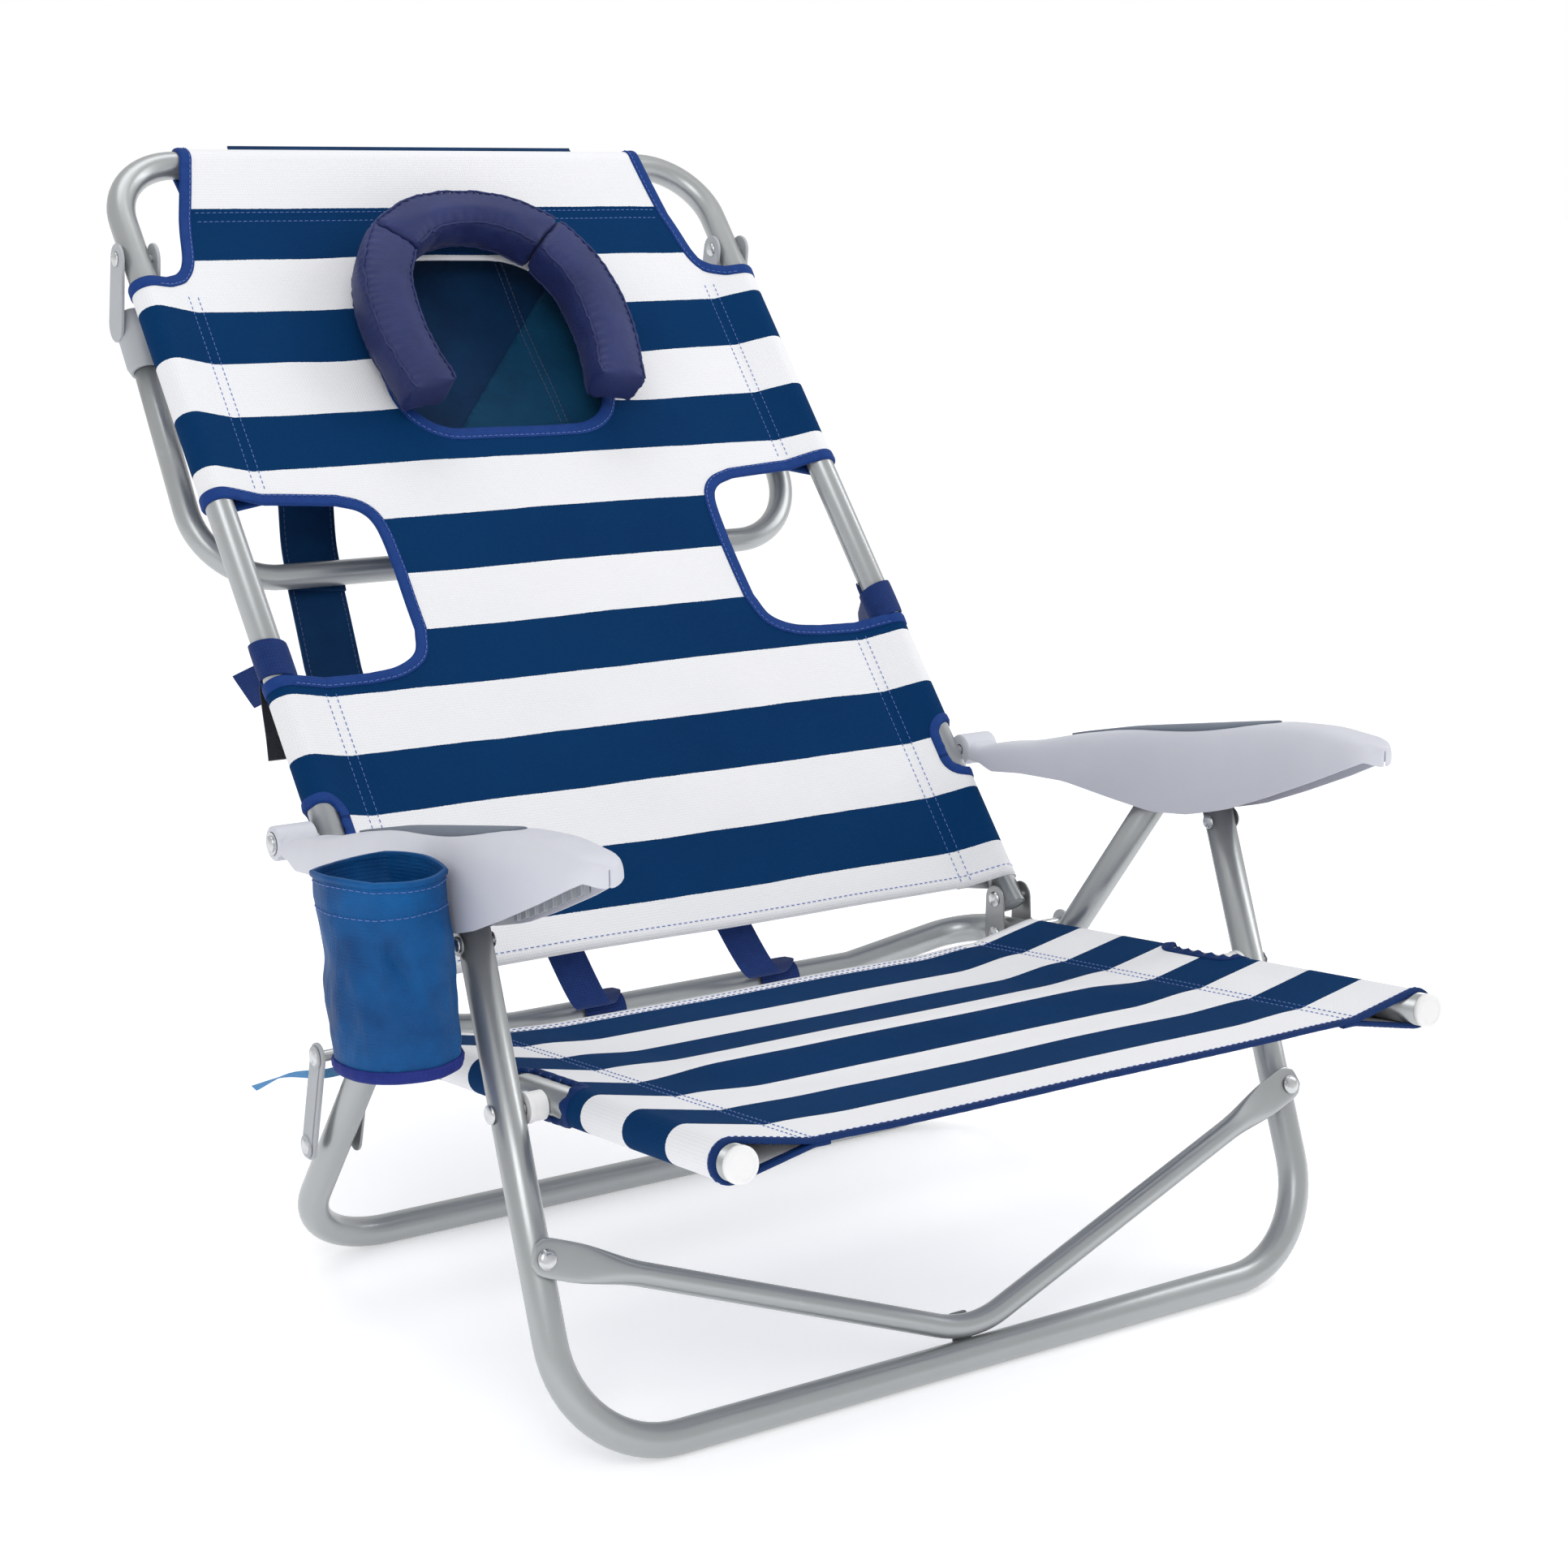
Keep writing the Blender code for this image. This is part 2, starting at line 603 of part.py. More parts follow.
def make_back_fabric(mats, origin):
    low, high = BACK_FABRIC_S
    fabric = extruded(
        "back_fabric",
        sling_outline(BACK_X),
        lambda a, b, c: back_point(c, b, a),
        (low, high),
        mats["stripe"],
        origin,
    )
    wrap = TUBE_R + 2.5 * GAP + FABRIC / 2
    line = [(0.600, 0.0)]
    for k in range(9):
        a = math.radians(100 - 200 * k / 8)
        line.append((BACK_LENGTH + wrap * math.cos(a), wrap * math.sin(a)))
    line.append((0.692, -0.0022))
    outer, inner = [], []
    for k, (s, n) in enumerate(line):
        ahead = np.subtract(line[min(k + 1, len(line) - 1)], line[max(k - 1, 0)])
        across = np.array((-ahead[1], ahead[0])) / np.linalg.norm(ahead) * (FABRIC / 2 + 0.0001)
        outer.append((s + across[0], n + across[1]))
        inner.append((s - across[0], n - across[1]))
    top = extruded(
        "top_sleeve", outer + inner[::-1], lambda a, b, c: back_point(a, b, c), (-0.211, 0.211), None, origin
    )
    join(fabric, top)
    for side, word in ((-1, "left"), (1, "right")):
        hole_corners = ((0.146, 0.2605), (0.300, 0.2605), (0.300, 0.4195), (0.146, 0.4195))
        arm_hole = rounded([(side * x, s) for x, s in hole_corners], 0.028, 5)
        cut(fabric, back_prism(f"{word}_arm_hole_cutter", arm_hole, (-0.05, 0.05)))
        notch_corners = ((0.262, 0.112), (0.300, 0.112), (0.300, 0.157), (0.262, 0.157))
        bolt_notch = rounded([(side * x, s) for x, s in notch_corners], 0.012)
        cut(fabric, back_prism(f"{word}_bolt_notch_cutter", bolt_notch, (-0.05, 0.05)))
    width, low_s, high_s = 0.092, 0.472, 0.655
    face = rounded(((-width, low_s), (width, low_s), (width, high_s), (-width, high_s)), 0.062, 6)
    cut(fabric, back_prism("face_hole_cutter", face, (-0.05, 0.05)))
    flap_outline = rounded(((-0.172, 0.405), (0.172, 0.405), (0.160, 0.690), (-0.160, 0.690)), 0.055, 6)
    flap = back_prism("face_flap", flap_outline, (-0.0205, -0.0180))
    flap.data.materials.append(mats["navy"])


def make_pillow(mats, origin):
    """A horseshoe cushion round the face hole, its arch at the top."""
    half, low_s, high_s, arch_n, bend = 0.088, 0.492, 0.6585, 0.0300, 0.060
    corners = ((-half, low_s, 0), (-half, high_s, 0), (half, high_s, 0), (half, low_s, 0))
    centre = [(point.x, point.y) for point in filleted(corners, (bend, bend), 6)]
    rings = []
    for k, (x, s) in enumerate(centre):
        ahead = np.subtract(centre[min(k + 1, len(centre) - 1)], centre[max(k - 1, 0)])
        across = np.array((-ahead[1], ahead[0])) / np.linalg.norm(ahead)
        swell = 0.8 if k in (0, len(centre) - 1) else 1.0
        ring = []
        for j in range(10):
            a = 2 * math.pi * j / 10
            wide, thick = 0.0265 * swell * math.cos(a), 0.0205 * swell * math.sin(a)
            ring.append(back_point(s + across[1] * wide, arch_n + thick, x + across[0] * wide))
        rings.append(ring)
    lofted("head_pillow", rings, mats["indigo"], origin)


# ---- prop leg behind the back -------------------------------------------------------------------
def make_prop(mats):
    origin = PROP_PIVOT
    corners = [
        back_point(*PROP_TOP, -BACK_X),
        back_point(*PROP_BAR, -BACK_X),
        back_point(*PROP_BAR, BACK_X),
        back_point(*PROP_TOP, BACK_X),
    ]
    path = filleted(corners, (0.062, 0.062), 6)
    tube("prop_frame", path, PROP_R, mats["steel"], origin)
    direction = back_point(*PROP_BAR) - back_point(*PROP_TOP)
    pivot = (PROP_PIVOT.y, PROP_PIVOT.z)
    lower = back_point(0.616, -0.0395)
    for side, word in ((-1, "left"), (1, "right")):
        start = back_point(0.6245, -0.0402, side * BACK_X)
        inner, outer = PROP_R + GAP, 0.0150
        loop = ((0, inner), (0, outer), (0.050, outer - 0.001), (0.050, inner))
        bracket = turned(
            f"{word}_prop_bracket", start, direction, loop, mats["grey_plastic"], origin, 16, ring=True
        )
        outline = capsule((lower.y, lower.z), pivot, 0.0135, 0.0120)
        for which, (near, far) in (("outer", (0.0130, 0.0160)), ("inner", (-0.0160, -0.0130))):
            x_range = (side * (BACK_X + near), side * (BACK_X + far))
            join(bracket, side_plate(f"{word}_ear_{which}", outline, x_range, None, origin))
        span = (BACK_X - 0.02, BACK_X + 0.02)
        cut(bracket, hole(f"{word}_ear_cutter", pivot, side, span, RIVET_HOLE_R))
        steps = headed(BACK_X - 0.0160 - GAP, BACK_X + 0.0160 + GAP, RIVET_R, 0.0055, 0.0014)
        crosswise_pin(f"{word}_prop_rivet", pivot, side, steps, mats["bolt"], origin)
        near, far = side * 0.150, side * 0.198
        line = ((0.597, -0.0300), (0.470, -0.0600), (0.415, -0.0785), (0.381, -0.0785))
        thick = ((s, n - 0.0030) for s, n in reversed(line))
        extruded(
            f"{word}_strap_upper",
            list(line) + list(thick),
            lambda a, b, c: back_point(a, b, c),
            (near, far),
            mats["navy"],
            origin,
        )


# ---- arms ---------------------------------------------------------------------------------------
# Along the arm from nose to neck: y, top z, bottom z, half width
ARM_STATIONS = (
    (-0.0510, 0.3955, 0.3895, 0.0060),
    (-0.0470, 0.3985, 0.3880, 0.0125),
    (-0.0350, 0.4012, 0.3820, 0.0175),
    (0.0000, 0.4030, 0.3655, 0.0200),
    (0.0450, 0.3990, 0.3460, 0.0205),
    (0.0850, 0.3915, 0.3300, 0.0205),
    (0.1250, 0.3840, 0.3190, 0.0205),
    (0.1650, 0.3765, 0.3135, 0.0200),
    (0.2100, 0.3680, 0.3150, 0.0200),
    (0.2700, 0.3540, 0.3180, 0.0195),
    (0.3250, 0.3390, 0.3145, 0.0185),
    (0.3620, 0.3325, 0.3095, 0.0165),
    (0.3980, 0.3310, 0.3090, 0.0150),
)


def arm_value(y, column):
    stations = np.array(ARM_STATIONS)
    return float(np.interp(y, stations[:, 0], stations[:, column]))


def arm_centre_x(y):
    """The neck leans in towards the back tube."""
    return ARM_X - 0.004 * min(1.0, max(0.0, (y - 0.30) / 0.08))


def arm_ring(side, station, steps=10):
    """An upside-down U across the arm: the outer skin, then the inner one back again."""
    y, top, bottom, half = station
    skins = []
    for inset in (0.0, ARM_WALL):
        skin = []
        for k in range(steps + 1):
            a = math.pi * k / steps
            across = math.copysign(abs(math.cos(a)) ** 0.45, math.cos(a)) * (half - inset)
            rise = abs(math.sin(a)) ** 0.8 * (top - inset - bottom)
            skin.append(Vector((side * (arm_centre_x(y) + across), y, bottom + rise)))
        skins.append(skin)
    return skins[0] + skins[1][::-1]


def make_arm(side, word, mats):
    origin = at(ARM_BOLT)
    arm = lofted(f"{word}_armrest", [arm_ring(side, s) for s in ARM_STATIONS], mats["arm_plastic"], origin)
    boss_steps = ((0.2848, BOSS_R - 0.001), (0.2858, BOSS_R), (0.3142, BOSS_R), (0.3152, BOSS_R - 0.001))
    join(arm, crosswise_pin(f"{word}_boss", ARM_BOLT, side, boss_steps, None, origin, 20))
    cut(arm, hole(f"{word}_boss_cutter", ARM_BOLT, side, (0.27, 0.33)))
    bolt_steps = headed(BACK_X - TUBE_R - 0.0008, 0.3155, BOLT_R, 0.0066, 0.0026)
    crosswise_pin(f"{word}_arm_bolt", ARM_BOLT, side, bolt_steps, mats["bolt"], origin)
    make_inlay(side, word, mats, origin)
    make_rack(side, word, mats, origin)


def make_inlay(side, word, mats, origin):
    """A long teardrop pad on the crown, wide at the front."""
    start, end, steps = 0.052, 0.282, 9
    rings = []
    for k in range(steps + 1):
        u = k / steps
        y = start + (end - start) * u
        half = max(0.0012, 0.0125 * math.sin(math.pi * min(1.0, 0.06 + u ** 0.62 * 0.94)))
        low = arm_value(y, TOP) + 0.0005
        rings.append(
            [
                Vector((side * (ARM_X + x), y, z))
                for x, z in ((-half, low), (half, low), (half, low + 0.0012), (-half, low + 0.0012))
            ]
        )
    lofted(f"{word}_arm_inlay", rings, mats["slate"], origin)


def make_rack(side, word, mats, origin):
    """The comb of notches on the inner wall of the arm, ahead of the leg."""
    base, tip = ARM_X - 0.0205 + ARM_WALL + 0.0017, 0.2908
    pitch, count, first = 0.0115, 8, 0.006
    outline = [(first - 0.004, base)]
    for k in range(count):
        y = first + pitch * k
        outline += [(y, base + 0.0014), (y, tip), (y + 0.0045, tip), (y + 0.0045, base + 0.0014)]
    outline.append((first + pitch * count, base))

    def place(a, b, c):
        low = arm_value(a, BOTTOM) + 0.002
        return Vector((side * b, a, low + c * (arm_value(a, TOP) - low)))

    extruded(f"{word}_ratchet_rack", outline, place, (0.0, 0.40), mats["grey_plastic"], origin)


def make_cup_holder(mats):
    """An open cloth pocket against the outside of the left arm."""
    rim, base = Vector((-0.3655, 0.122, 0.367)), Vector((-0.3640, 0.110, 0.251))
    radius, wall, wall_x, sides = 0.0405, 0.0016, -(ARM_X + 0.0209), 20
    levels = (0.0, 0.10, 0.5, 1.0)

    def ring(level, inset, lift=0.0):
        centre = base.lerp(rim, level)
        shrink = 0.90 if level == 0.0 else 1.0
        points = []
        for j in range(sides):
            a = 2 * math.pi * j / sides
            x = centre.x + (radius * shrink - inset) * math.cos(a)
            y = centre.y + (radius * shrink - inset) * math.sin(a)
            points.append(Vector((min(x, wall_x - inset), y, centre.z + lift)))
        return points

    rings = [ring(level, 0.0) for level in levels]
    rings += [ring(level, wall, wall if level == 0.0 else 0.0) for level in reversed(levels)]
    lofted("cup_holder", rings, mats["cup_blue"], at(ARM_BOLT))


def make_chair():
    clear_scene()
    mats = {
        "steel": principled("steel", (0.40, 0.42, 0.43), 0.35, 0.8),
        "dark_steel": principled("dark_steel", (0.28, 0.29, 0.30), 0.45, 0.7),
        "bolt": principled("bolt", (0.60, 0.60, 0.60), 0.30, 1.0),
        "stripe": principled("stripe", (0.86, 0.86, 0.88), 0.8),
        "webbing": principled("webbing", (0.02, 0.06, 0.25), 0.75),
        "navy": principled("navy", (0.005, 0.03, 0.12), 0.75),
        "indigo": principled("indigo", (0.03, 0.035, 0.16), 0.8),
        "cup_blue": principled("cup_blue", (0.01, 0.10, 0.30), 0.7),
        "arm_plastic": principled("arm_plastic", (0.68, 0.69, 0.74), 0.45),
        "grey_plastic": principled("grey_plastic", (0.52, 0.55, 0.57), 0.45),
        "white_plastic": principled("white_plastic", (0.82, 0.82, 0.80), 0.4),
        "slate": principled("slate", (0.15, 0.18, 0.24), 0.5),
    }
    make_seat(mats)
    make_front_legs(mats)
    make_rear_legs(mats)
    make_links(mats)
    make_hinge_pins(mats)
    make_back(mats)
    make_prop(mats)
    make_arm(-1, "left", mats)
    make_arm(1, "right", mats)
    make_cup_holder(mats)


make_chair()
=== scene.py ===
"""Looks of the folding beach chair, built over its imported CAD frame.

Metres, +Z up, the chair faces -Y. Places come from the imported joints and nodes.
Side-view coordinates are (a, n): a along a part, n towards its upper or front side. x runs across.
"""

import json
import math

import bmesh
import bpy
import numpy as np
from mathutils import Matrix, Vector, noise
from mathutils.bvhtree import BVHTree
from mathutils.geometry import delaunay_2d_cdt


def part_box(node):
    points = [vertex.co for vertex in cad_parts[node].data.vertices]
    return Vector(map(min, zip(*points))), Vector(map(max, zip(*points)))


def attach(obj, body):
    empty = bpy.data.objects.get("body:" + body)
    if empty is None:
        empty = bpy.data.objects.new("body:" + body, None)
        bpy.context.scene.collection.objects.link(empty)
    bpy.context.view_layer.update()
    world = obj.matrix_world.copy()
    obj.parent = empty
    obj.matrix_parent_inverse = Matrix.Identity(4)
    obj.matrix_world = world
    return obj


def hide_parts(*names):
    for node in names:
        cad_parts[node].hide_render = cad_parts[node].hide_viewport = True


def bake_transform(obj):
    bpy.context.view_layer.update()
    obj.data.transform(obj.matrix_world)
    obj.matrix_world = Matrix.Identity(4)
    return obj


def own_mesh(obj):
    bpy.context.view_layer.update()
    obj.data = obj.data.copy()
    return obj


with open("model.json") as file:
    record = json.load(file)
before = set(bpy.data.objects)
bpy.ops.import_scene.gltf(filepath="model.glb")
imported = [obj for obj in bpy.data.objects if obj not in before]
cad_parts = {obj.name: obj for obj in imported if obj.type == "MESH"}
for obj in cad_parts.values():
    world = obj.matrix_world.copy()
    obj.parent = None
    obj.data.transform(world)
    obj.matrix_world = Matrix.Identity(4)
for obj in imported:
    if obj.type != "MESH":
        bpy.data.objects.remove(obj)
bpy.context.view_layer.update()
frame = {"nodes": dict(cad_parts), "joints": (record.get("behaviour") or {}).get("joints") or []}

# ---- driving sizes ------------------------------------------------------------------------------
TUBE_R = 0.011
PROP_R = 0.010
BRACE_R = 0.008
WALL = 0.001
FABRIC = 0.0012
SEAT_X = 0.2696
BACK_X = 0.2706
FRONT_X = 0.306
REAR_X = 0.304
ROUND = 32  # sides of a smooth round section
SIDES = ((-1, "left"), (1, "right"))
STRIPE_PERIOD = 0.100
STRIPE_WIDTH = 0.050
BINDING = 0.0085
PIVOT = {joint["name"]: Vector(joint["pos_m"]) for joint in frame["joints"]}


# ---- places taken from the frame ----------------------------------------------------------------
def node_points(node):
    points = [tuple(round(c, 6) for c in vertex.co) for vertex in frame["nodes"][node].data.vertices]
    return np.array(sorted(set(points)))


def end_centre(node, direction, depth=0.02):
    """The middle of the node's end that lies furthest along a direction."""
    points = node_points(node)
    reach = points @ np.array(direction)
    return Vector(points[reach > reach.max() - depth].mean(axis=0))


def crossbar_centre(node, depth=0.006):
    """The middle of a bent tube's straight crossbar, between its bends."""
    points = node_points(node)
    aside = np.abs(points[:, 0])
    return Vector(points[aside < aside.min() + depth].mean(axis=0))


class SideView:
    """Coordinates along a part: a from its origin, n to its upper or front side, x across."""

    def __init__(self, origin, towards, start=0.0):
        self.along = Vector((0, towards.y - origin.y, towards.z - origin.z)).normalized()
        self.normal = Vector((0, -self.along.z, self.along.y))
        self.origin = Vector((0, origin.y, origin.z)) - self.along * start

    def point(self, a, n=0.0, x=0.0):
        return self.origin + self.along * a + self.normal * n + Vector((x, 0, 0))

    def locate(self, point):
        offset = point - self.origin
        return offset.dot(self.along), offset.dot(self.normal)


SEAT = SideView(end_centre("seat_fabric", (0, -1, 0)), end_centre("seat_fabric", (0, 1, 0)), 0.010)
BACK = SideView(PIVOT["fold"], PIVOT["prop_swing"])
GROUND = Vector((0, 0, -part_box("front_leg_frame")[0].z + TUBE_R * math.cos(math.pi / 12)))
FRONT = SideView(GROUND, PIVOT["front_leg_fold"])
REAR_GROUND = Vector((0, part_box("rear_leg_frame")[1].y - TUBE_R, GROUND.z))
REAR = SideView(REAR_GROUND, PIVOT["rear_leg_fold"])
BACK_LENGTH = BACK.locate(crossbar_centre("back_frame"))[0]
PROP_BAR = BACK.locate(crossbar_centre("prop_frame"))
PROP_TOP = BACK.locate(end_centre("prop_frame", BACK.along))
ARM_BOLT = PIVOT["left_arm_fold"]
HINGE = PIVOT["fold"]
LINK_TOP = PIVOT["link_fold"]


def aside(place, x):
    return Vector((x, place.y, place.z))


# ---- shader helpers -----------------------------------------------------------------------------
def add(tree, kind, inputs=None, **settings):
    node = tree.nodes.new(kind)
    for key, value in settings.items():
        setattr(node, key, value)
    for key, value in (inputs or {}).items():
        socket = node.inputs[key]
        if isinstance(value, bpy.types.NodeSocket):
            tree.links.new(value, socket)
        else:
            socket.default_value = value
    return node


def new_material(name):
    material = bpy.data.materials.new(name)
    material.use_nodes = True
    tree = material.node_tree
    return material, tree, tree.nodes["Principled BSDF"]


def set_inputs(tree, node, inputs):
    for key, value in inputs.items():
        if isinstance(value, bpy.types.NodeSocket):
            tree.links.new(value, node.inputs[key])
        else:
            node.inputs[key].default_value = value


def srgb(red, green, blue):
    """An 8-bit screen colour as a linear one."""

    def linear(value):
        share = value / 255
        return share / 12.92 if share <= 0.04045 else ((share + 0.055) / 1.055) ** 2.4

    return (linear(red), linear(green), linear(blue), 1.0)


def object_place(tree):
    return add(tree, "ShaderNodeTexCoord").outputs["Object"]


def grain(tree, place, scale, detail=2.0, roughness=0.5):
    inputs = {"Vector": place, "Scale": scale, "Detail": detail, "Roughness": roughness}
    return add(tree, "ShaderNodeTexNoise", inputs).outputs["Fac"]


def maths(tree, operation, first, second=0.0, clamp=False):
    node = add(tree, "ShaderNodeMath", {0: first, 1: second}, operation=operation, use_clamp=clamp)
    return node.outputs[0]


def remap(tree, value, low, high, to_low, to_high):
    inputs = {"Value": value, "From Min": low, "From Max": high, "To Min": to_low, "To Max": to_high}
    return add(tree, "ShaderNodeMapRange", inputs).outputs["Result"]


def blend_colours(tree, share, first, second, mode="MIX"):
    node = add(tree, "ShaderNodeMix", data_type="RGBA", blend_type=mode)
    colour_sockets = {"Factor": 0, "A": 6, "B": 7}
    for key, value in (("Factor", share), ("A", first), ("B", second)):
        socket = node.inputs[colour_sockets[key]]
        if isinstance(value, bpy.types.NodeSocket):
            tree.links.new(value, socket)
        else:
            socket.default_value = value
    return node.outputs[2]


def bump(tree, height, distance, strength=1.0, under=None):
    inputs = {"Height": height, "Distance": distance, "Strength": strength}
    if under is not None:
        inputs["Normal"] = under
    return add(tree, "ShaderNodeBump", inputs).outputs["Normal"]


def cloth_place(tree):
    """(across, along) of a sewn piece in metres, as its mesh stores it."""
    attribute = add(tree, "ShaderNodeAttribute", attribute_name="cloth")
    return attribute.outputs["Vector"]


def split_place(tree, place):
    parts = add(tree, "ShaderNodeSeparateXYZ", {0: place})
    return parts.outputs[0], parts.outputs[1], parts.outputs[2]


def ridges(tree, value, pitch, phase=0.0):
    """Rounded ribs, 0 to 1, at a pitch along a coordinate."""
    turned_value = maths(tree, "MULTIPLY", value, 2 * math.pi / pitch)
    wave = maths(tree, "SINE", maths(tree, "ADD", turned_value, phase))
    return maths(tree, "ADD", maths(tree, "MULTIPLY", wave, 0.5), 0.5)


def plain_weave(tree, across, along, pitch):
    """Over and under of a plain weave, 0 to 1."""
    first = ridges(tree, across, pitch)
    second = ridges(tree, along, pitch)
    checks = maths(tree, "MULTIPLY", ridges(tree, across, 2 * pitch), ridges(tree, along, 2 * pitch))
    return maths(tree, "ADD", maths(tree, "MULTIPLY", maths(tree, "MAXIMUM", first, second), 0.6), checks)


# ---- materials ----------------------------------------------------------------------------------
def coated_steel(name, colour, worn, roughness=0.34):
    """Silver coating with a fine orange peel, light scuffs and dull patches."""
    material, tree, shader = new_material(name)
    place = object_place(tree)
    patches = grain(tree, place, 9.0, 4.0, 0.6)
    scuffs = grain(tree, place, 85.0, 5.0, 0.75)
    peel = grain(tree, place, 900.0, 2.0)
    scuff_mask = remap(tree, scuffs, 0.62, 0.78, 0.0, 1.0)
    tint = blend_colours(tree, patches, srgb(*colour), srgb(*(min(255, c + 10) for c in colour)))
    tint = blend_colours(tree, maths(tree, "MULTIPLY", scuff_mask, 0.35), tint, srgb(*worn))
    rough = remap(tree, patches, 0.3, 0.7, roughness - 0.05, roughness + 0.06)
    rough = maths(tree, "ADD", rough, maths(tree, "MULTIPLY", scuff_mask, 0.12))
    normal = bump(tree, peel, 0.00006, 0.5)
    normal = bump(tree, scuffs, 0.00004, 0.4, normal)
    inputs = {"Base Color": tint, "Roughness": rough, "Metallic": 0.72, "Normal": normal}
    inputs["Coat Weight"] = 0.25
    inputs["Coat Roughness"] = 0.18
    set_inputs(tree, shader, inputs)
    return material


def zinc(name):
    material, tree, shader = new_material(name)
    place = object_place(tree)
    spangle = grain(tree, place, 260.0, 3.0)
    brushed = grain(tree, place, 1400.0, 2.0)
    tint = blend_colours(tree, spangle, srgb(176, 178, 180), srgb(226, 228, 230))
    rough = remap(tree, spangle, 0.3, 0.7, 0.20, 0.38)
    normal = bump(tree, brushed, 0.00004, 0.6)
    set_inputs(tree, shader, {"Base Color": tint, "Roughness": rough, "Metallic": 0.95, "Normal": normal})
    return material


def moulded(name, colour, grain_scale=1100.0, roughness=0.46, depth=0.00005):
    """Injection-moulded plastic: spark-eroded grain, faint flow marks, a soft sheen."""
    material, tree, shader = new_material(name)
    place = object_place(tree)
    flow = grain(tree, place, 14.0, 3.0)
    pits = grain(tree, place, grain_scale, 2.0)
    smudge = grain(tree, place, 55.0, 4.0, 0.65)
    tint = blend_colours(tree, flow, srgb(*colour), srgb(*(max(0, c - 9) for c in colour)))
    rough = remap(tree, smudge, 0.3, 0.7, roughness - 0.06, roughness + 0.08)
    normal = bump(tree, pits, depth, 0.7)
    inputs = {"Base Color": tint, "Roughness": rough, "Normal": normal, "Subsurface Weight": 0.04}
    inputs["Subsurface Scale"] = 0.004
    set_inputs(tree, shader, inputs)
    return material


def striped_canvas(name, first, last):
    """Woven sling cloth: wide navy stripes on white, from first to last along the sheet, with painted shade
    in the weave's hollows.
    """
    material, tree, shader = new_material(name)
    across, along, _ = split_place(tree, cloth_place(tree))
    place = object_place(tree)
    wobble = maths(tree, "MULTIPLY", maths(tree, "SUBTRACT", grain(tree, place, 22.0, 2.0), 0.5), 0.0016)
    frayed = maths(tree, "MULTIPLY", maths(tree, "SUBTRACT", grain(tree, place, 1500.0), 0.5), 0.0012)
    shifted = maths(tree, "ADD", maths(tree, "ADD", along, wobble), frayed)
    phase = maths(tree, "FLOORED_MODULO", maths(tree, "SUBTRACT", shifted, first), STRIPE_PERIOD)
    in_stripe = maths(tree, "LESS_THAN", phase, STRIPE_WIDTH)
    before_last = maths(tree, "LESS_THAN", shifted, last)
    navy_share = maths(tree, "MULTIPLY", in_stripe, before_last)
    fading = grain(tree, place, 7.0, 4.0, 0.6)
    slubs = grain(tree, place, 620.0, 3.0, 0.7)
    threads = plain_weave(tree, across, along, 0.0011)
    navy = blend_colours(tree, fading, srgb(0, 42, 84), srgb(2, 54, 100))
    navy = blend_colours(tree, remap(tree, slubs, 0.55, 0.8, 0.0, 0.22), navy, srgb(30, 84, 134))
    white = blend_colours(tree, fading, srgb(236, 236, 238), srgb(227, 228, 232))
    tint = blend_colours(tree, navy_share, white, navy)
    # painted shade: the colour is darkened in the weave's hollows and faintly lightened on its crossings
    shade = remap(tree, threads, 0.0, 1.2, 0.90, 1.03)
    weave_shade_tint = add(tree, "ShaderNodeCombineColor", {0: shade, 1: shade, 2: shade}).outputs[0]
    tint = blend_colours(tree, 1.0, tint, weave_shade_tint, "MULTIPLY")
    crumple = grain(tree, place, 28.0, 3.0, 0.55)
    normal = bump(tree, threads, 0.00022, 0.55)
    normal = bump(tree, crumple, 0.0022, 0.20, normal)
    inputs = {"Base Color": tint, "Roughness": 0.88, "Normal": normal, "Specular IOR Level": 0.08}
    set_inputs(tree, shader, inputs)
    return material


def ribbed_tape(name, colour, light, pitch=0.0014, roughness=0.62):
    """Binding or webbing: cross ribs, edge threads, painted shade in the rib hollows and slightly uneven
    dye.
    """
    material, tree, shader = new_material(name)
    across, along, _ = split_place(tree, cloth_place(tree))
    place = object_place(tree)
    ribs = ridges(tree, along, pitch)
    warps = ridges(tree, across, pitch * 1.3)
    relief = maths(tree, "ADD", maths(tree, "MULTIPLY", ribs, 0.6), maths(tree, "MULTIPLY", warps, 0.4))
    dye = grain(tree, place, 120.0, 4.0, 0.7)
    tint = blend_colours(tree, dye, srgb(*colour), srgb(*light))
    # painted shade: the colour is darkened in the rib hollows and lightened on the rib crowns
    dark = remap(tree, relief, 0.0, 1.0, 0.72, 1.08)
    shade = add(tree, "ShaderNodeCombineColor", {0: dark, 1: dark, 2: dark}).outputs[0]
    tint = blend_colours(tree, 1.0, tint, shade, "MULTIPLY")
    normal = bump(tree, relief, 0.00035, 0.8)
    inputs = {"Base Color": tint, "Roughness": roughness, "Normal": normal, "Specular IOR Level": 0.14}
    set_inputs(tree, shader, inputs)
    return material


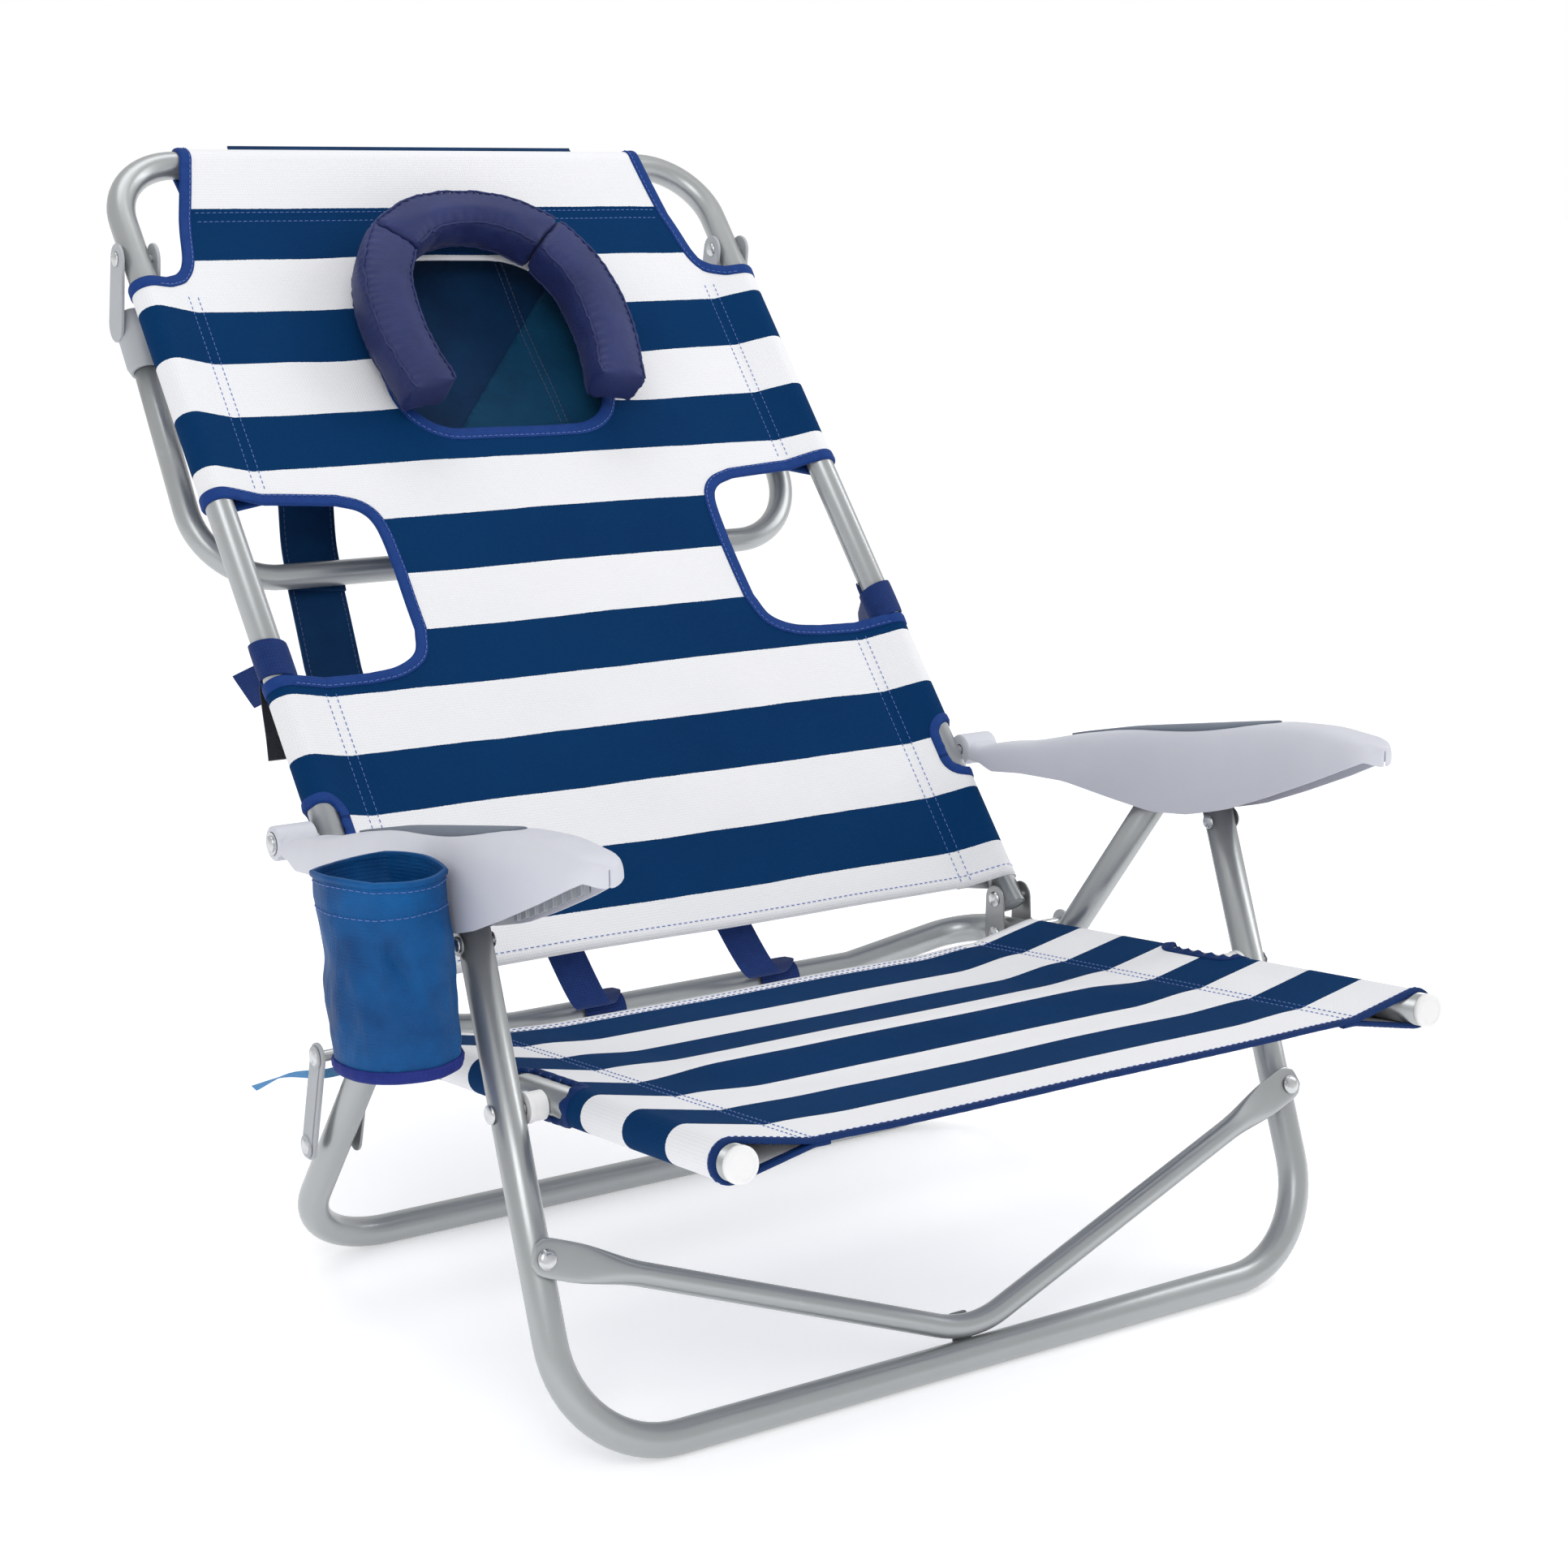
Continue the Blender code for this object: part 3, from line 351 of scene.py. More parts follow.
def soft_cloth(name, colour, light, weave=0.0009, depth=0.00016, sheen=0.35, roughness=0.72, gloss=0.14):
    """Close-woven cloth: fine weave in object space, broad creases and a dusty sheen."""
    material, tree, shader = new_material(name)
    place = object_place(tree)
    first, second, third = split_place(tree, place)
    threads = plain_weave(tree, maths(tree, "ADD", first, maths(tree, "MULTIPLY", second, 0.7)), third,
        weave)
    broad = grain(tree, place, 16.0, 4.0, 0.6)
    creases = grain(tree, place, 46.0, 5.0, 0.62)
    specks = grain(tree, place, 900.0, 2.0, 0.8)
    tint = blend_colours(tree, remap(tree, broad, 0.3, 0.7, 0.0, 1.0), srgb(*colour), srgb(*light))
    tint = blend_colours(tree, remap(tree, specks, 0.60, 0.80, 0.0, 0.30), tint,
        srgb(*(c + 22 for c in light)))
    normal = bump(tree, threads, depth, 0.6)
    normal = bump(tree, creases, 0.0030, 0.28, normal)
    inputs = {"Base Color": tint, "Roughness": roughness, "Normal": normal, "Sheen Weight": sheen}
    inputs["Sheen Roughness"] = 0.45
    inputs["Specular IOR Level"] = gloss
    set_inputs(tree, shader, inputs)
    return material


def thread(name, colour):
    material, tree, shader = new_material(name)
    place = object_place(tree)
    twist = grain(tree, place, 2400.0, 2.0)
    tint = blend_colours(tree, twist, srgb(*colour), srgb(*(min(255, c + 40) for c in colour)))
    normal = bump(tree, twist, 0.0001, 0.8)
    set_inputs(tree, shader, {"Base Color": tint, "Roughness": 0.6, "Normal": normal, "Sheen Weight": 0.3})
    return material


MATS = {
    "steel": coated_steel("tube_silver", (164, 167, 168), (202, 204, 205)),
    "bracket": coated_steel("bracket_silver", (146, 148, 150), (186, 188, 190), 0.40),
    "zinc": zinc("zinc_fastener"),
    "seat_cloth": striped_canvas("seat_stripes", 0.062, 0.412),
    "back_cloth": striped_canvas("back_stripes", 0.045, 0.698),
    "binding": ribbed_tape("royal_binding", (14, 50, 116), (30, 70, 142)),
    "dark_binding": ribbed_tape("navy_binding", (4, 38, 88), (12, 52, 112)),
    "webbing": ribbed_tape("blue_webbing", (14, 38, 92), (30, 58, 118), 0.0021),
    "strap": soft_cloth("navy_strap", (0, 38, 76), (4, 52, 94), 0.0011, 0.00016, 0.05),
    "flap": soft_cloth("navy_flap", (0, 32, 66), (2, 46, 82), 0.0010, 0.0002, 0.02),
    # painted light: a lighter copy of the flap cloth for the lit side of the flap's diagonal fold
    "flap_fold": soft_cloth("teal_navy_fold", (0, 50, 80), (4, 64, 96), 0.0010, 0.0002, 0.02),
    "pillow": soft_cloth("indigo_pillow", (26, 37, 84), (37, 48, 101), 0.0008, 0.00012, 0.05, 0.52, 0.28),
    "cup": soft_cloth("cup_cloth", (0, 54, 106), (2, 86, 148), 0.0012, 0.00022, 0.02, 0.52, 0.20),
    "violet_binding": ribbed_tape("violet_binding", (26, 38, 112), (42, 56, 138)),
    "arm": moulded("arm_plastic", (206, 208, 217)),
    "rack": moulded("rack_plastic", (168, 172, 178), 900.0, 0.42),
    "slate": moulded("slate_pad", (104, 114, 128), 700.0, 0.58, 0.00012),
    "grey_plastic": moulded("grey_plastic", (172, 176, 180)),
    "white": moulded("white_plastic", (236, 236, 236), 1300.0, 0.38),
    "blue_thread": thread("blue_thread", (48, 84, 160)),
    "navy_thread": thread("navy_thread", (26, 40, 92)),
    "black": soft_cloth("black_strip", (24, 26, 32), (38, 40, 48), 0.0011, 0.0002, 0.2),
    "pale_tie": ribbed_tape("pale_blue_tie", (88, 150, 208), (120, 176, 224)),
}


# ---- mesh helpers -------------------------------------------------------------------------------
def add_mesh(name, points, faces, material, angle=40.0, cloth=None):
    mesh = bpy.data.meshes.new(name)
    mesh.from_pydata([tuple(point) for point in points], [], faces)
    mesh.shade_smooth()
    mesh.set_sharp_from_angle(angle=math.radians(angle))
    mesh.materials.append(MATS[material])
    if cloth is not None:
        attribute = mesh.attributes.new("cloth", "FLOAT_VECTOR", "POINT")
        attribute.data.foreach_set("vector", np.array(cloth, np.float32).ravel())
    obj = bpy.data.objects.new(name, mesh)
    bpy.context.scene.collection.objects.link(obj)
    return obj


def settle(obj, body, slot, *nodes):
    """Puts a finished piece on its body and hides the CAD nodes it stands for; slot is not used."""
    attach(obj, body)
    if nodes:
        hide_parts(*nodes)
    return obj


def outward(obj):
    shape = bmesh.new()
    shape.from_mesh(obj.data)
    bmesh.ops.recalc_face_normals(shape, faces=shape.faces)
    if shape.calc_volume(signed=True) < 0:
        bmesh.ops.reverse_faces(shape, faces=shape.faces)
    shape.to_mesh(obj.data)
    shape.free()
    return obj


def bevelled(obj, width, segments=3, angle=35.0):
    modifier = obj.modifiers.new("edges", "BEVEL")
    modifier.width = width
    modifier.segments = segments
    modifier.limit_method = "ANGLE"
    modifier.angle_limit = math.radians(angle)
    modifier.harden_normals = True
    return obj


def solidified(obj, thickness, offset=0.0):
    modifier = obj.modifiers.new("thickness", "SOLIDIFY")
    modifier.thickness = thickness
    modifier.offset = offset
    return obj


def subdivided(obj, levels=1):
    modifier = obj.modifiers.new("smooth", "SUBSURF")
    modifier.levels = levels
    modifier.render_levels = levels
    return obj


def filleted(corners, radii, steps=12):
    """The corners as a path, each inner one rounded by an arc of its radius."""
    corners = [Vector(corner) for corner in corners]
    path = [corners[0]]
    for before, corner, after, radius in zip(corners, corners[1:], corners[2:], radii):
        to_before = (before - corner).normalized()
        to_after = (after - corner).normalized()
        half = to_before.angle(to_after) / 2
        centre = corner + (to_before + to_after).normalized() * (radius / math.sin(half))
        start = corner + to_before * (radius / math.tan(half)) - centre
        end = corner + to_after * (radius / math.tan(half)) - centre
        turn = start.angle(end)
        for k in range(steps + 1):
            a = turn * k / steps
            path.append(centre + (start * math.sin(turn - a) + end * math.sin(a)) / math.sin(turn))
    path.append(corners[-1])
    return path


def smooth_curve(controls, steps=8):
    """A Catmull-Rom curve through points of any dimension."""
    controls = [np.array(control, float) for control in controls]
    padded = [2 * controls[0] - controls[1], *controls, 2 * controls[-1] - controls[-2]]
    curve = []
    for before, start, end, after in zip(padded, padded[1:], padded[2:], padded[3:]):
        for k in range(steps):
            u = k / steps
            point = 0.5 * (
                2 * start
                + (end - before) * u
                + (2 * before - 5 * start + 4 * end - after) * u**2
                + (3 * start - before - 3 * end + after) * u**3
            )
            curve.append(point)
    curve.append(controls[-1])
    return curve


def resampled(path, spacing, closed=False):
    """Points at an even spacing along a path."""
    points = np.array([tuple(point) for point in path], float)
    if closed:
        points = np.vstack([points, points[:1]])
    lengths = np.linalg.norm(np.diff(points, axis=0), axis=1)
    reach = np.concatenate([[0], np.cumsum(lengths)])
    count = max(2, int(round(reach[-1] / spacing)) + 1)
    at = np.linspace(0, reach[-1], count)
    if closed:
        at = at[:-1]
    return np.stack([np.interp(at, reach, points[:, k]) for k in range(points.shape[1])], axis=1)


def frames_along(path, closed=False):
    """Tangent and two normals at each point, carried along without twist."""
    count = len(path)
    frames = []
    normal = None
    for k, point in enumerate(path):
        ahead = path[(k + 1) % count] if closed else path[min(k + 1, count - 1)]
        behind = path[k - 1] if closed else path[max(k - 1, 0)]
        tangent = ((ahead - point).normalized() + (point - behind).normalized()).normalized()
        if normal is None:
            normal = tangent.orthogonal()
        normal = (normal - tangent * normal.dot(tangent)).normalized()
        frames.append((tangent, normal, tangent.cross(normal)))
    return frames


def grid_faces(rows, columns, wrap_columns=True, wrap_rows=False):
    faces = []
    for k in range(rows if wrap_rows else rows - 1):
        for j in range(columns if wrap_columns else columns - 1):
            low, high = k * columns, ((k + 1) % rows) * columns
            j2 = (j + 1) % columns
            faces.append((low + j, low + j2, high + j2, high + j))
    return faces


def tube_piece(name, path, radius, material="steel"):
    """A thin-walled round tube with open ends, smooth through its bends."""
    points = []
    for point, (_, normal, binormal) in zip(path, frames_along(path)):
        for j in range(ROUND):
            a = 2 * math.pi * j / ROUND
            points.append(point + (normal * math.cos(a) + binormal * math.sin(a)) * radius)
    obj = add_mesh(name, points, grid_faces(len(path), ROUND), material)
    fix_open_normals(obj, path)
    return solidified(obj, WALL, -1.0)


def fix_open_normals(obj, path):
    """Turns an open tube's faces away from its path."""
    polygon = obj.data.polygons[0]
    if polygon.normal.dot(polygon.center - path[0]) < 0:
        obj.data.flip_normals()


def turned(name, start, axis, profile, material, sides=ROUND):
    """A turned solid: profile is (distance along the axis, radius), closed at its ends."""
    axis = Vector(axis).normalized()
    normal = axis.orthogonal().normalized()
    binormal = axis.cross(normal)
    points = []
    for distance, radius in profile:
        for j in range(sides):
            a = 2 * math.pi * j / sides
            spoke = normal * math.cos(a) + binormal * math.sin(a)
            points.append(Vector(start) + axis * distance + spoke * max(radius, 1e-5))
    faces = grid_faces(len(profile), sides)
    faces.append(tuple(range(sides)))
    faces.append(tuple((len(profile) - 1) * sides + j for j in range(sides)))
    return outward(add_mesh(name, points, faces, material))


def ring_piece(name, start, axis, profile, material, sides=ROUND):
    """A turned ring: profile is a closed loop of (distance, radius)."""
    axis = Vector(axis).normalized()
    normal = axis.orthogonal().normalized()
    binormal = axis.cross(normal)
    points = []
    for distance, radius in profile:
        for j in range(sides):
            a = 2 * math.pi * j / sides
            spoke = normal * math.cos(a) + binormal * math.sin(a)
            points.append(Vector(start) + axis * distance + spoke * radius)
    return outward(add_mesh(name, points, grid_faces(len(profile), sides, True, True), material))


def dome(base, radius, height, start_share=1.0, steps=5):
    """Profile of a domed head that starts at a distance and closes over the axis."""
    profile = []
    for k in range(steps + 1):
        a = math.pi / 2 * k / steps
        profile.append((base + height * math.sin(a), radius * start_share * math.cos(a)))
    return profile


def joined(name, parts):
    """Several meshes as one object; their materials are kept."""
    bpy.ops.object.select_all(action="DESELECT")
    for part in parts:
        part.select_set(True)
        bpy.context.view_layer.objects.active = part
        for modifier in list(part.modifiers):
            bpy.ops.object.modifier_apply(modifier=modifier.name)
    bpy.context.view_layer.objects.active = parts[0]
    bpy.ops.object.join()
    parts[0].name = name
    parts[0].data.name = name
    return parts[0]


def crosswise_pin(name, place, side, x_in, x_out, shaft, head, height, washer=0.0):
    """A rivet or bolt along X with domed heads; x_in and x_out are the heads' inner faces."""
    profile = [(-height, head * 0.15)]
    profile += [(-height + (height * (1 - math.cos(math.pi / 2 * k / 4))),
        head * math.sin(math.pi / 2 * k / 4)) for k in range(1, 5)]
    profile += [(0.0, shaft), (x_out - x_in, shaft)]
    if washer:
        profile += [(x_out - x_in, washer), (x_out - x_in + 0.0007, washer)]
    lift = x_out - x_in + (0.0007 if washer else 0.0)
    profile += [(lift, head)] + dome(lift + height * 0.25, head, height * 0.75)
    return turned(name, aside(place, side * x_in), (side, 0, 0), profile, "zinc", 24)


def flat_plate(name, outline, place, span, material, edge=0.0005):
    """The outline (a, b) drawn at both ends of span by place(a, b, c), with rounded edges."""
    count = len(outline)
    points = [place(a, b, c) for c in span for a, b in outline]
    faces = [tuple(range(count)), tuple(count + j for j in range(count))]
    faces += [(j, (j + 1) % count, count + (j + 1) % count, count + j) for j in range(count)]
    obj = outward(add_mesh(name, points, faces, material))
    return bevelled(obj, edge, 2)


def side_plate(name, outline, x_range, material, edge=0.0005):
    return flat_plate(name, outline, lambda a, b, c: Vector((c, a, b)), x_range, material, edge)


def capsule(first, second, r_first, r_second=None, steps=14):
    r_second = r_second or r_first
    a = math.atan2(second[1] - first[1], second[0] - first[0])
    outline = []
    for centre, radius, start in ((second, r_second, a - math.pi / 2), (first, r_first, a + math.pi / 2)):
        for k in range(steps + 1):
            angle = start + math.pi * k / steps
            outline.append((centre[0] + radius * math.cos(angle), centre[1] + radius * math.sin(angle)))
    return outline


def rounded(corners, radius, steps=8):
    """A closed outline with each corner rounded; radius may differ from corner to corner."""
    count = len(corners)
    radii = radius if isinstance(radius, (list, tuple)) else [radius] * count
    outline = []
    for k, corner in enumerate(corners):
        if not radii[k]:
            outline.append(tuple(corner))
            continue
        here, before, after = (Vector((*c, 0.0)) for c in (corner, corners[k - 1],
            corners[(k + 1) % count]))
        outline.extend((p.x, p.y) for p in filleted((before, here, after), (radii[k],), steps)[1:-1])
    return outline


# ---- sewing -------------------------------------------------------------------------------------
class Sling:
    """A sheet between two side tubes with a sleeve round each.

    u runs across the cloth from its middle, v along it. Past the seams u goes round the tube.
    """

    def __init__(self, view, half_width, seam_x, tail, ripple):
        wrap = TUBE_R + FABRIC / 2 + 0.0003
        layer = FABRIC / 2 + 0.0004
        reach = math.hypot(half_width - seam_x, layer)
        tangent = math.acos(wrap / reach)
        corners = [(0.0, layer), (seam_x, layer)]
        for k in range(41):
            a = (math.pi - tangent) * (1 - 2 * k / 40)
            corners.append((half_width + wrap * math.cos(a), wrap * math.sin(a)))
        corners += [(seam_x, -layer), (seam_x - tail, -layer)]
        corners = np.array(corners)
        steps = np.linalg.norm(np.diff(corners, axis=0), axis=1)
        self.reach = np.concatenate([[0], np.cumsum(steps)])
        self.corners = corners
        self.view = view
        self.ripple = ripple
        self.front_tangent = self.reach[2]
        self.back_tangent = self.reach[-3]
        self.end = self.reach[-1]
        self.rows = np.array([(-1.0, -1.0, 0.0), (2.0, 2.0, 0.0)])

    def roll_over(self, bar, radius, tail):
        """Lets the sheet go over a crossbar at a distance along it and come back down behind."""
        first = self.corners[0, 1]
        wrap = radius + FABRIC / 2 + 0.0006
        rows = [(bar - 0.055, 0.0)]
        for k in range(33):
            a = math.radians(100 - 200 * k / 32)
            rows.append((bar + wrap * math.cos(a), wrap * math.sin(a) - first))
        rows.append((bar - tail, -2.8 * first))
        rows = np.array(rows)
        steps = np.linalg.norm(np.diff(rows, axis=0), axis=1)
        reach = rows[0, 0] + np.concatenate([[0], np.cumsum(steps)])
        self.rows = np.vstack([[-1.0, -1.0, 0.0], np.column_stack([reach, rows])])
        return reach[-1]

    def u_of(self, x):
        """u on the front layer at a distance from the middle."""
        front = self.corners[:3]
        return float(np.interp(x, front[:, 0], self.reach[:3]))

    def plain(self, u, v):
        x = np.interp(abs(u), self.reach, self.corners[:, 0]) * (1 if u >= 0 else -1)
        n = np.interp(abs(u), self.reach, self.corners[:, 1])
        s = np.interp(v, self.rows[:, 0], self.rows[:, 1])
        n += np.interp(v, self.rows[:, 0], self.rows[:, 2])
        return self.view.point(s, n, x)

    def normal(self, u, v):
        step = 0.0008
        across = self.plain(u + step, v) - self.plain(u - step, v)
        along = self.plain(u, v + step) - self.plain(u, v - step)
        return across.cross(along).normalized()

    def point(self, u, v, lift=0.0):
        return self.plain(u, v) + self.normal(u, v) * (lift + self.ripple(u, v))


def inside(points, loop):
    """Which points lie inside a closed loop."""
    points, loop = np.asarray(points), np.asarray(loop)
    result = np.zeros(len(points), bool)
    for (x1, y1), (x2, y2) in zip(loop, np.roll(loop, -1, axis=0)):
        if y1 == y2:
            continue
        crosses = (points[:, 1] < y1) != (points[:, 1] < y2)
        result ^= crosses & (points[:, 0] < (x2 - x1) * (points[:, 1] - y1) / (y2 - y1) + x1)
    return result


def sewn_sheet(name, sling, edge, holes, u_values, v_values, material):
    """Cloth cut to an edge with holes in it, laid over the sling."""
    loops = [resampled(loop, 0.003, True) for loop in (edge, *holes)]
    rim = np.vstack(loops)
    grid = np.array([(u, v) for v in v_values for u in u_values])
    keep = inside(grid, loops[0])
    for loop in loops[1:]:
        keep &= ~inside(grid, loop)
    grid = grid[keep]
    clear = np.array([np.min(np.abs(rim - point).sum(axis=1)) > 0.0022 for point in grid])
    grid = grid[clear]
    points = np.vstack([rim, grid])
    edges, start = [], 0
    for loop in loops:
        count = len(loop)
        edges += [(start + j, start + (j + 1) % count) for j in range(count)]
        start += count
    cut = delaunay_2d_cdt([Vector(point) for point in points], edges, [], 0, 1e-7, False)
    flat = np.array([tuple(point) for point in cut[0]])
    faces = np.array([face for face in cut[2] if len(face) == 3])
    centres = flat[faces].mean(axis=1)
    keep = inside(centres, loops[0])
    for loop in loops[1:]:
        keep &= ~inside(centres, loop)
    faces = faces[keep]
    places = [sling.point(u, v) for u, v in flat]
    cloth = np.column_stack([flat, np.zeros(len(flat))])
    obj = add_mesh(name, places, [tuple(int(j) for j in face) for face in faces], material, 80.0, cloth)
    flip_towards(obj, sling)
    return solidified(obj, FABRIC)


def flip_towards(obj, sling):
    """Gives all faces of a sheet the side that its sling calls the front."""
    shape = bmesh.new()
    shape.from_mesh(obj.data)
    bmesh.ops.delete(shape, geom=[v for v in shape.verts if not v.link_faces], context="VERTS")
    bmesh.ops.recalc_face_normals(shape, faces=shape.faces)
    spot = sling.point(0.12, 0.2)
    middle = min(shape.faces, key=lambda face: (face.calc_center_median() - spot).length)
    if middle.normal.dot(sling.view.normal) < 0:
        bmesh.ops.reverse_faces(shape, faces=shape.faces)
    shape.to_mesh(obj.data)
    shape.free()


def folded_tape(name, sling, outline, inward, material="binding", closed=True, width=BINDING, ruffle=0.0):
    """Binding folded over a cut edge. inward is +1 when the cloth lies left of the outline."""
    line = resampled(outline, 0.0025, closed)
    points, cloth = [], []
    section = (
        (-0.0013, 0.0), (-0.0008, 0.0013), (0.0010, 0.0019), (width * 0.5, 0.0018),
        (width - 0.0008, 0.0016), (width, 0.0010), (width, -0.0010), (width - 0.0008, -0.0016),
        (width * 0.5, -0.0018), (0.0010, -0.0019), (-0.0008, -0.0013),
    )  # fmt: skip
    count = len(line)
    along = 0.0
    for k, (u, v) in enumerate(line):
        ahead = line[(k + 1) % count] if closed else line[min(k + 1, count - 1)]
        behind = line[k - 1] if closed else line[max(k - 1, 0)]
        direction = np.array(ahead) - np.array(behind)
        direction /= np.linalg.norm(direction)
        to_cloth = np.array((-direction[1], direction[0])) * inward
        wave = ruffle * math.sin(along * 2 * math.pi / 0.011 + 1.3 * math.sin(along * 90))
        pucker = 1.0 + 0.10 * noise.noise(Vector((along * 160, k * 0.01, 3.1)))
        for j, (depth, lift) in enumerate(section):
            place = np.array((u, v)) + to_cloth * depth
            weight = 1 - depth / width
            points.append(sling.point(*place, lift * pucker + wave * weight))
            cloth.append((depth if lift >= 0 else -depth, along, 0.0))
        along += 0.0025
    faces = grid_faces(count, len(section), True, closed)
    if not closed:
        faces.append(tuple(range(len(section))))
        faces.append(tuple((count - 1) * len(section) + j for j in range(len(section))))
    return outward(add_mesh(name, points, faces, material, 60.0, cloth))


class Stitching:
    """Rows of short raised stitches, gathered into one mesh."""

    def __init__(self):
        self.points = []
        self.faces = []

    def row(self, path, normals, length=0.0032, gap=0.0016, radius=0.00034):
        path = np.array([tuple(point) for point in path])
        steps = np.linalg.norm(np.diff(path, axis=0), axis=1)
        reach = np.concatenate([[0], np.cumsum(steps)])
        normals = np.array([tuple(normal) for normal in normals])
        at = gap
        while at + length < reach[-1]:
            spots = [at, at + length * 0.25, at + length * 0.75, at + length]
            lifts = (-0.0004, 0.0002, 0.0002, -0.0004)
            ring_start = len(self.points)
            ends = [np.array([np.interp(spot, reach, path[:, k]) for k in range(3)]) for spot in spots]
            normal = np.array([np.interp(at + length / 2, reach, normals[:, k]) for k in range(3)])
            tangent = ends[-1] - ends[0]
            side = np.cross(tangent, normal)
            side /= np.linalg.norm(side)
            for place, lift in zip(ends, lifts):
                for j in range(5):
                    a = 2 * math.pi * j / 5
                    offset = side * math.cos(a) * radius + normal * (math.sin(a) * radius + lift)
                    self.points.append(place + offset)
            for ring in range(3):
                low = ring_start + ring * 5
                self.faces += [(low + j, low + (j + 1) % 5, low + 5 + (j + 1) % 5,
                    low + 5 + j) for j in range(5)]
            self.faces.append(tuple(ring_start + j for j in range(5)))
            self.faces.append(tuple(ring_start + 15 + j for j in range(5)))
            at += length + gap

    def on_sling(self, sling, outline, lift=0.0, closed=False, back=False):
        line = resampled(outline, 0.004, closed)
        if closed:
            line = np.vstack([line, line[:1]])
        sign = -1 if back else 1
        height = sign * (FABRIC / 2 + 0.0001 + lift)
        path = [sling.point(u, v, height) for u, v in line]
        self.row(path, [sling.normal(u, v) * sign for u, v in line])

    def piece(self, name, body, slot, material="blue_thread"):
        obj = outward(add_mesh(name, self.points, self.faces, material, 80.0))
        return settle(obj, body, slot)


def offset_loop(outline, distance, closed=True):
    """The outline moved to its left by a distance."""
    line = resampled(outline, 0.004, closed)
    moved = []
    count = len(line)
    for k, point in enumerate(line):
        ahead = line[(k + 1) % count] if closed else line[min(k + 1, count - 1)]
        behind = line[k - 1] if closed else line[max(k - 1, 0)]
        direction = (ahead - behind) / np.linalg.norm(ahead - behind)
        moved.append(point + np.array((-direction[1], direction[0])) * distance)
    return moved


def axis_values(spans):
    """Grid values from (start, end, spacing) spans."""
    values = set()
    for start, end, spacing in spans:
        count = max(1, int(round((end - start) / spacing)))
        values.update(round(float(v), 6) for v in np.linspace(start, end, count + 1))
    return sorted(values)


def cloth_columns(sling):
    half = axis_values(
        (
            (0.0, sling.reach[1], 0.0075),
            (sling.reach[1], sling.front_tangent, 0.006),
            (sling.front_tangent, sling.back_tangent, 0.0022),
            (sling.back_tangent, sling.end - 0.001, 0.007),
        )
    )
    return sorted({-u for u in half} | set(half))


def webbing_strip(name, centres, normals, width, thick, material, across=None, ridge=0.0):
    """A strap along centres; across gives its width direction, X where left out."""
    points, cloth = [], []
    along = 0.0
    section = []
    half = width / 2
    for j in range(9):
        section.append((half * (j / 4 - 1), 1))
    for j in range(9):
        section.append((half * (1 - j / 4), -1))
    for k, (centre, normal) in enumerate(zip(centres, normals)):
        wide = Vector((1, 0, 0)) if across is None else across[k]
        for w, sign in section:
            edge = 1.0 - 0.35 * abs(w / half) ** 6
            lift = sign * thick / 2 * edge + ridge * math.cos(math.pi * w / half)
            points.append(centre + wide * w + normal * lift)
            cloth.append((w, along, 0.0))
        if k + 1 < len(centres):
            along += (centres[k + 1] - centre).length
    faces = grid_faces(len(centres), len(section))
    faces.append(tuple(range(len(section))))
    faces.append(tuple((len(centres) - 1) * len(section) + j for j in range(len(section))))
    return outward(add_mesh(name, points, faces, material, 50.0, cloth))


def path_normals(path, reference):
    """Normals of a path in the plane that the path and reference share."""
    result = []
    for tangent, _, _ in frames_along(path):
        side = Vector(reference).cross(tangent)
        result.append(side.normalized())
    return result


# ---- seat ---------------------------------------------------------------------------------------
SEAT_WAVES = (
    (0.000, 0.0), (0.060, -0.0020), (0.110, -0.0010), (0.160, -0.0044), (0.212, 0.0039),
    (0.260, -0.0033), (0.310, -0.0044), (0.360, -0.0044), (0.410, -0.0033), (0.430, -0.0010),
)  # fmt: skip


def seat_ripple(u, v):
    """The slack seat lies in soft waves across, stilled at its sleeves."""
    places, heights = zip(*SEAT_WAVES)
    wave = sum(np.interp(v + shift, places, heights) for shift in (-0.016, -0.008, 0.0, 0.008, 0.016)) / 5
    still = min(1.0, max(0.0, (0.205 - abs(u)) / 0.055))
    still = still * still * (3 - 2 * still)
    return float(wave) * 1.15 * still + noise.noise(Vector((u * 7, v * 9, 4.2))) * 0.0012 * still


SEAT_FRONT_V, SEAT_REAR_V = 0.010, 0.425
SEAT_REAR_T = SEAT.locate(crossbar_centre("seat_frame"))[0]
SEAT_BAR_DIP = -SEAT.locate(crossbar_centre("seat_frame"))[1]
SEAT_CLOTH = Sling(SEAT, SEAT_X, 0.214, 0.012, seat_ripple)


def seat_notches():
    """Cut-outs in both sleeves where the front legs bolt on: (u, v) outlines."""
    u_front = SEAT_CLOTH.front_tangent - 0.002
    u_back = SEAT_CLOTH.back_tangent - 0.012
    pivot_v = SEAT.locate(PIVOT["front_leg_fold"])[0]
    low, high = pivot_v - 0.026, pivot_v + 0.046
    outlines = []
    for side, _ in SIDES:
        corners = [(side * u_front, low), (side * u_back, low), (side * u_back, high),
            (side * u_front, high)]
        outlines.append(rounded(corners if side > 0 else corners[::-1], 0.011))
    return outlines


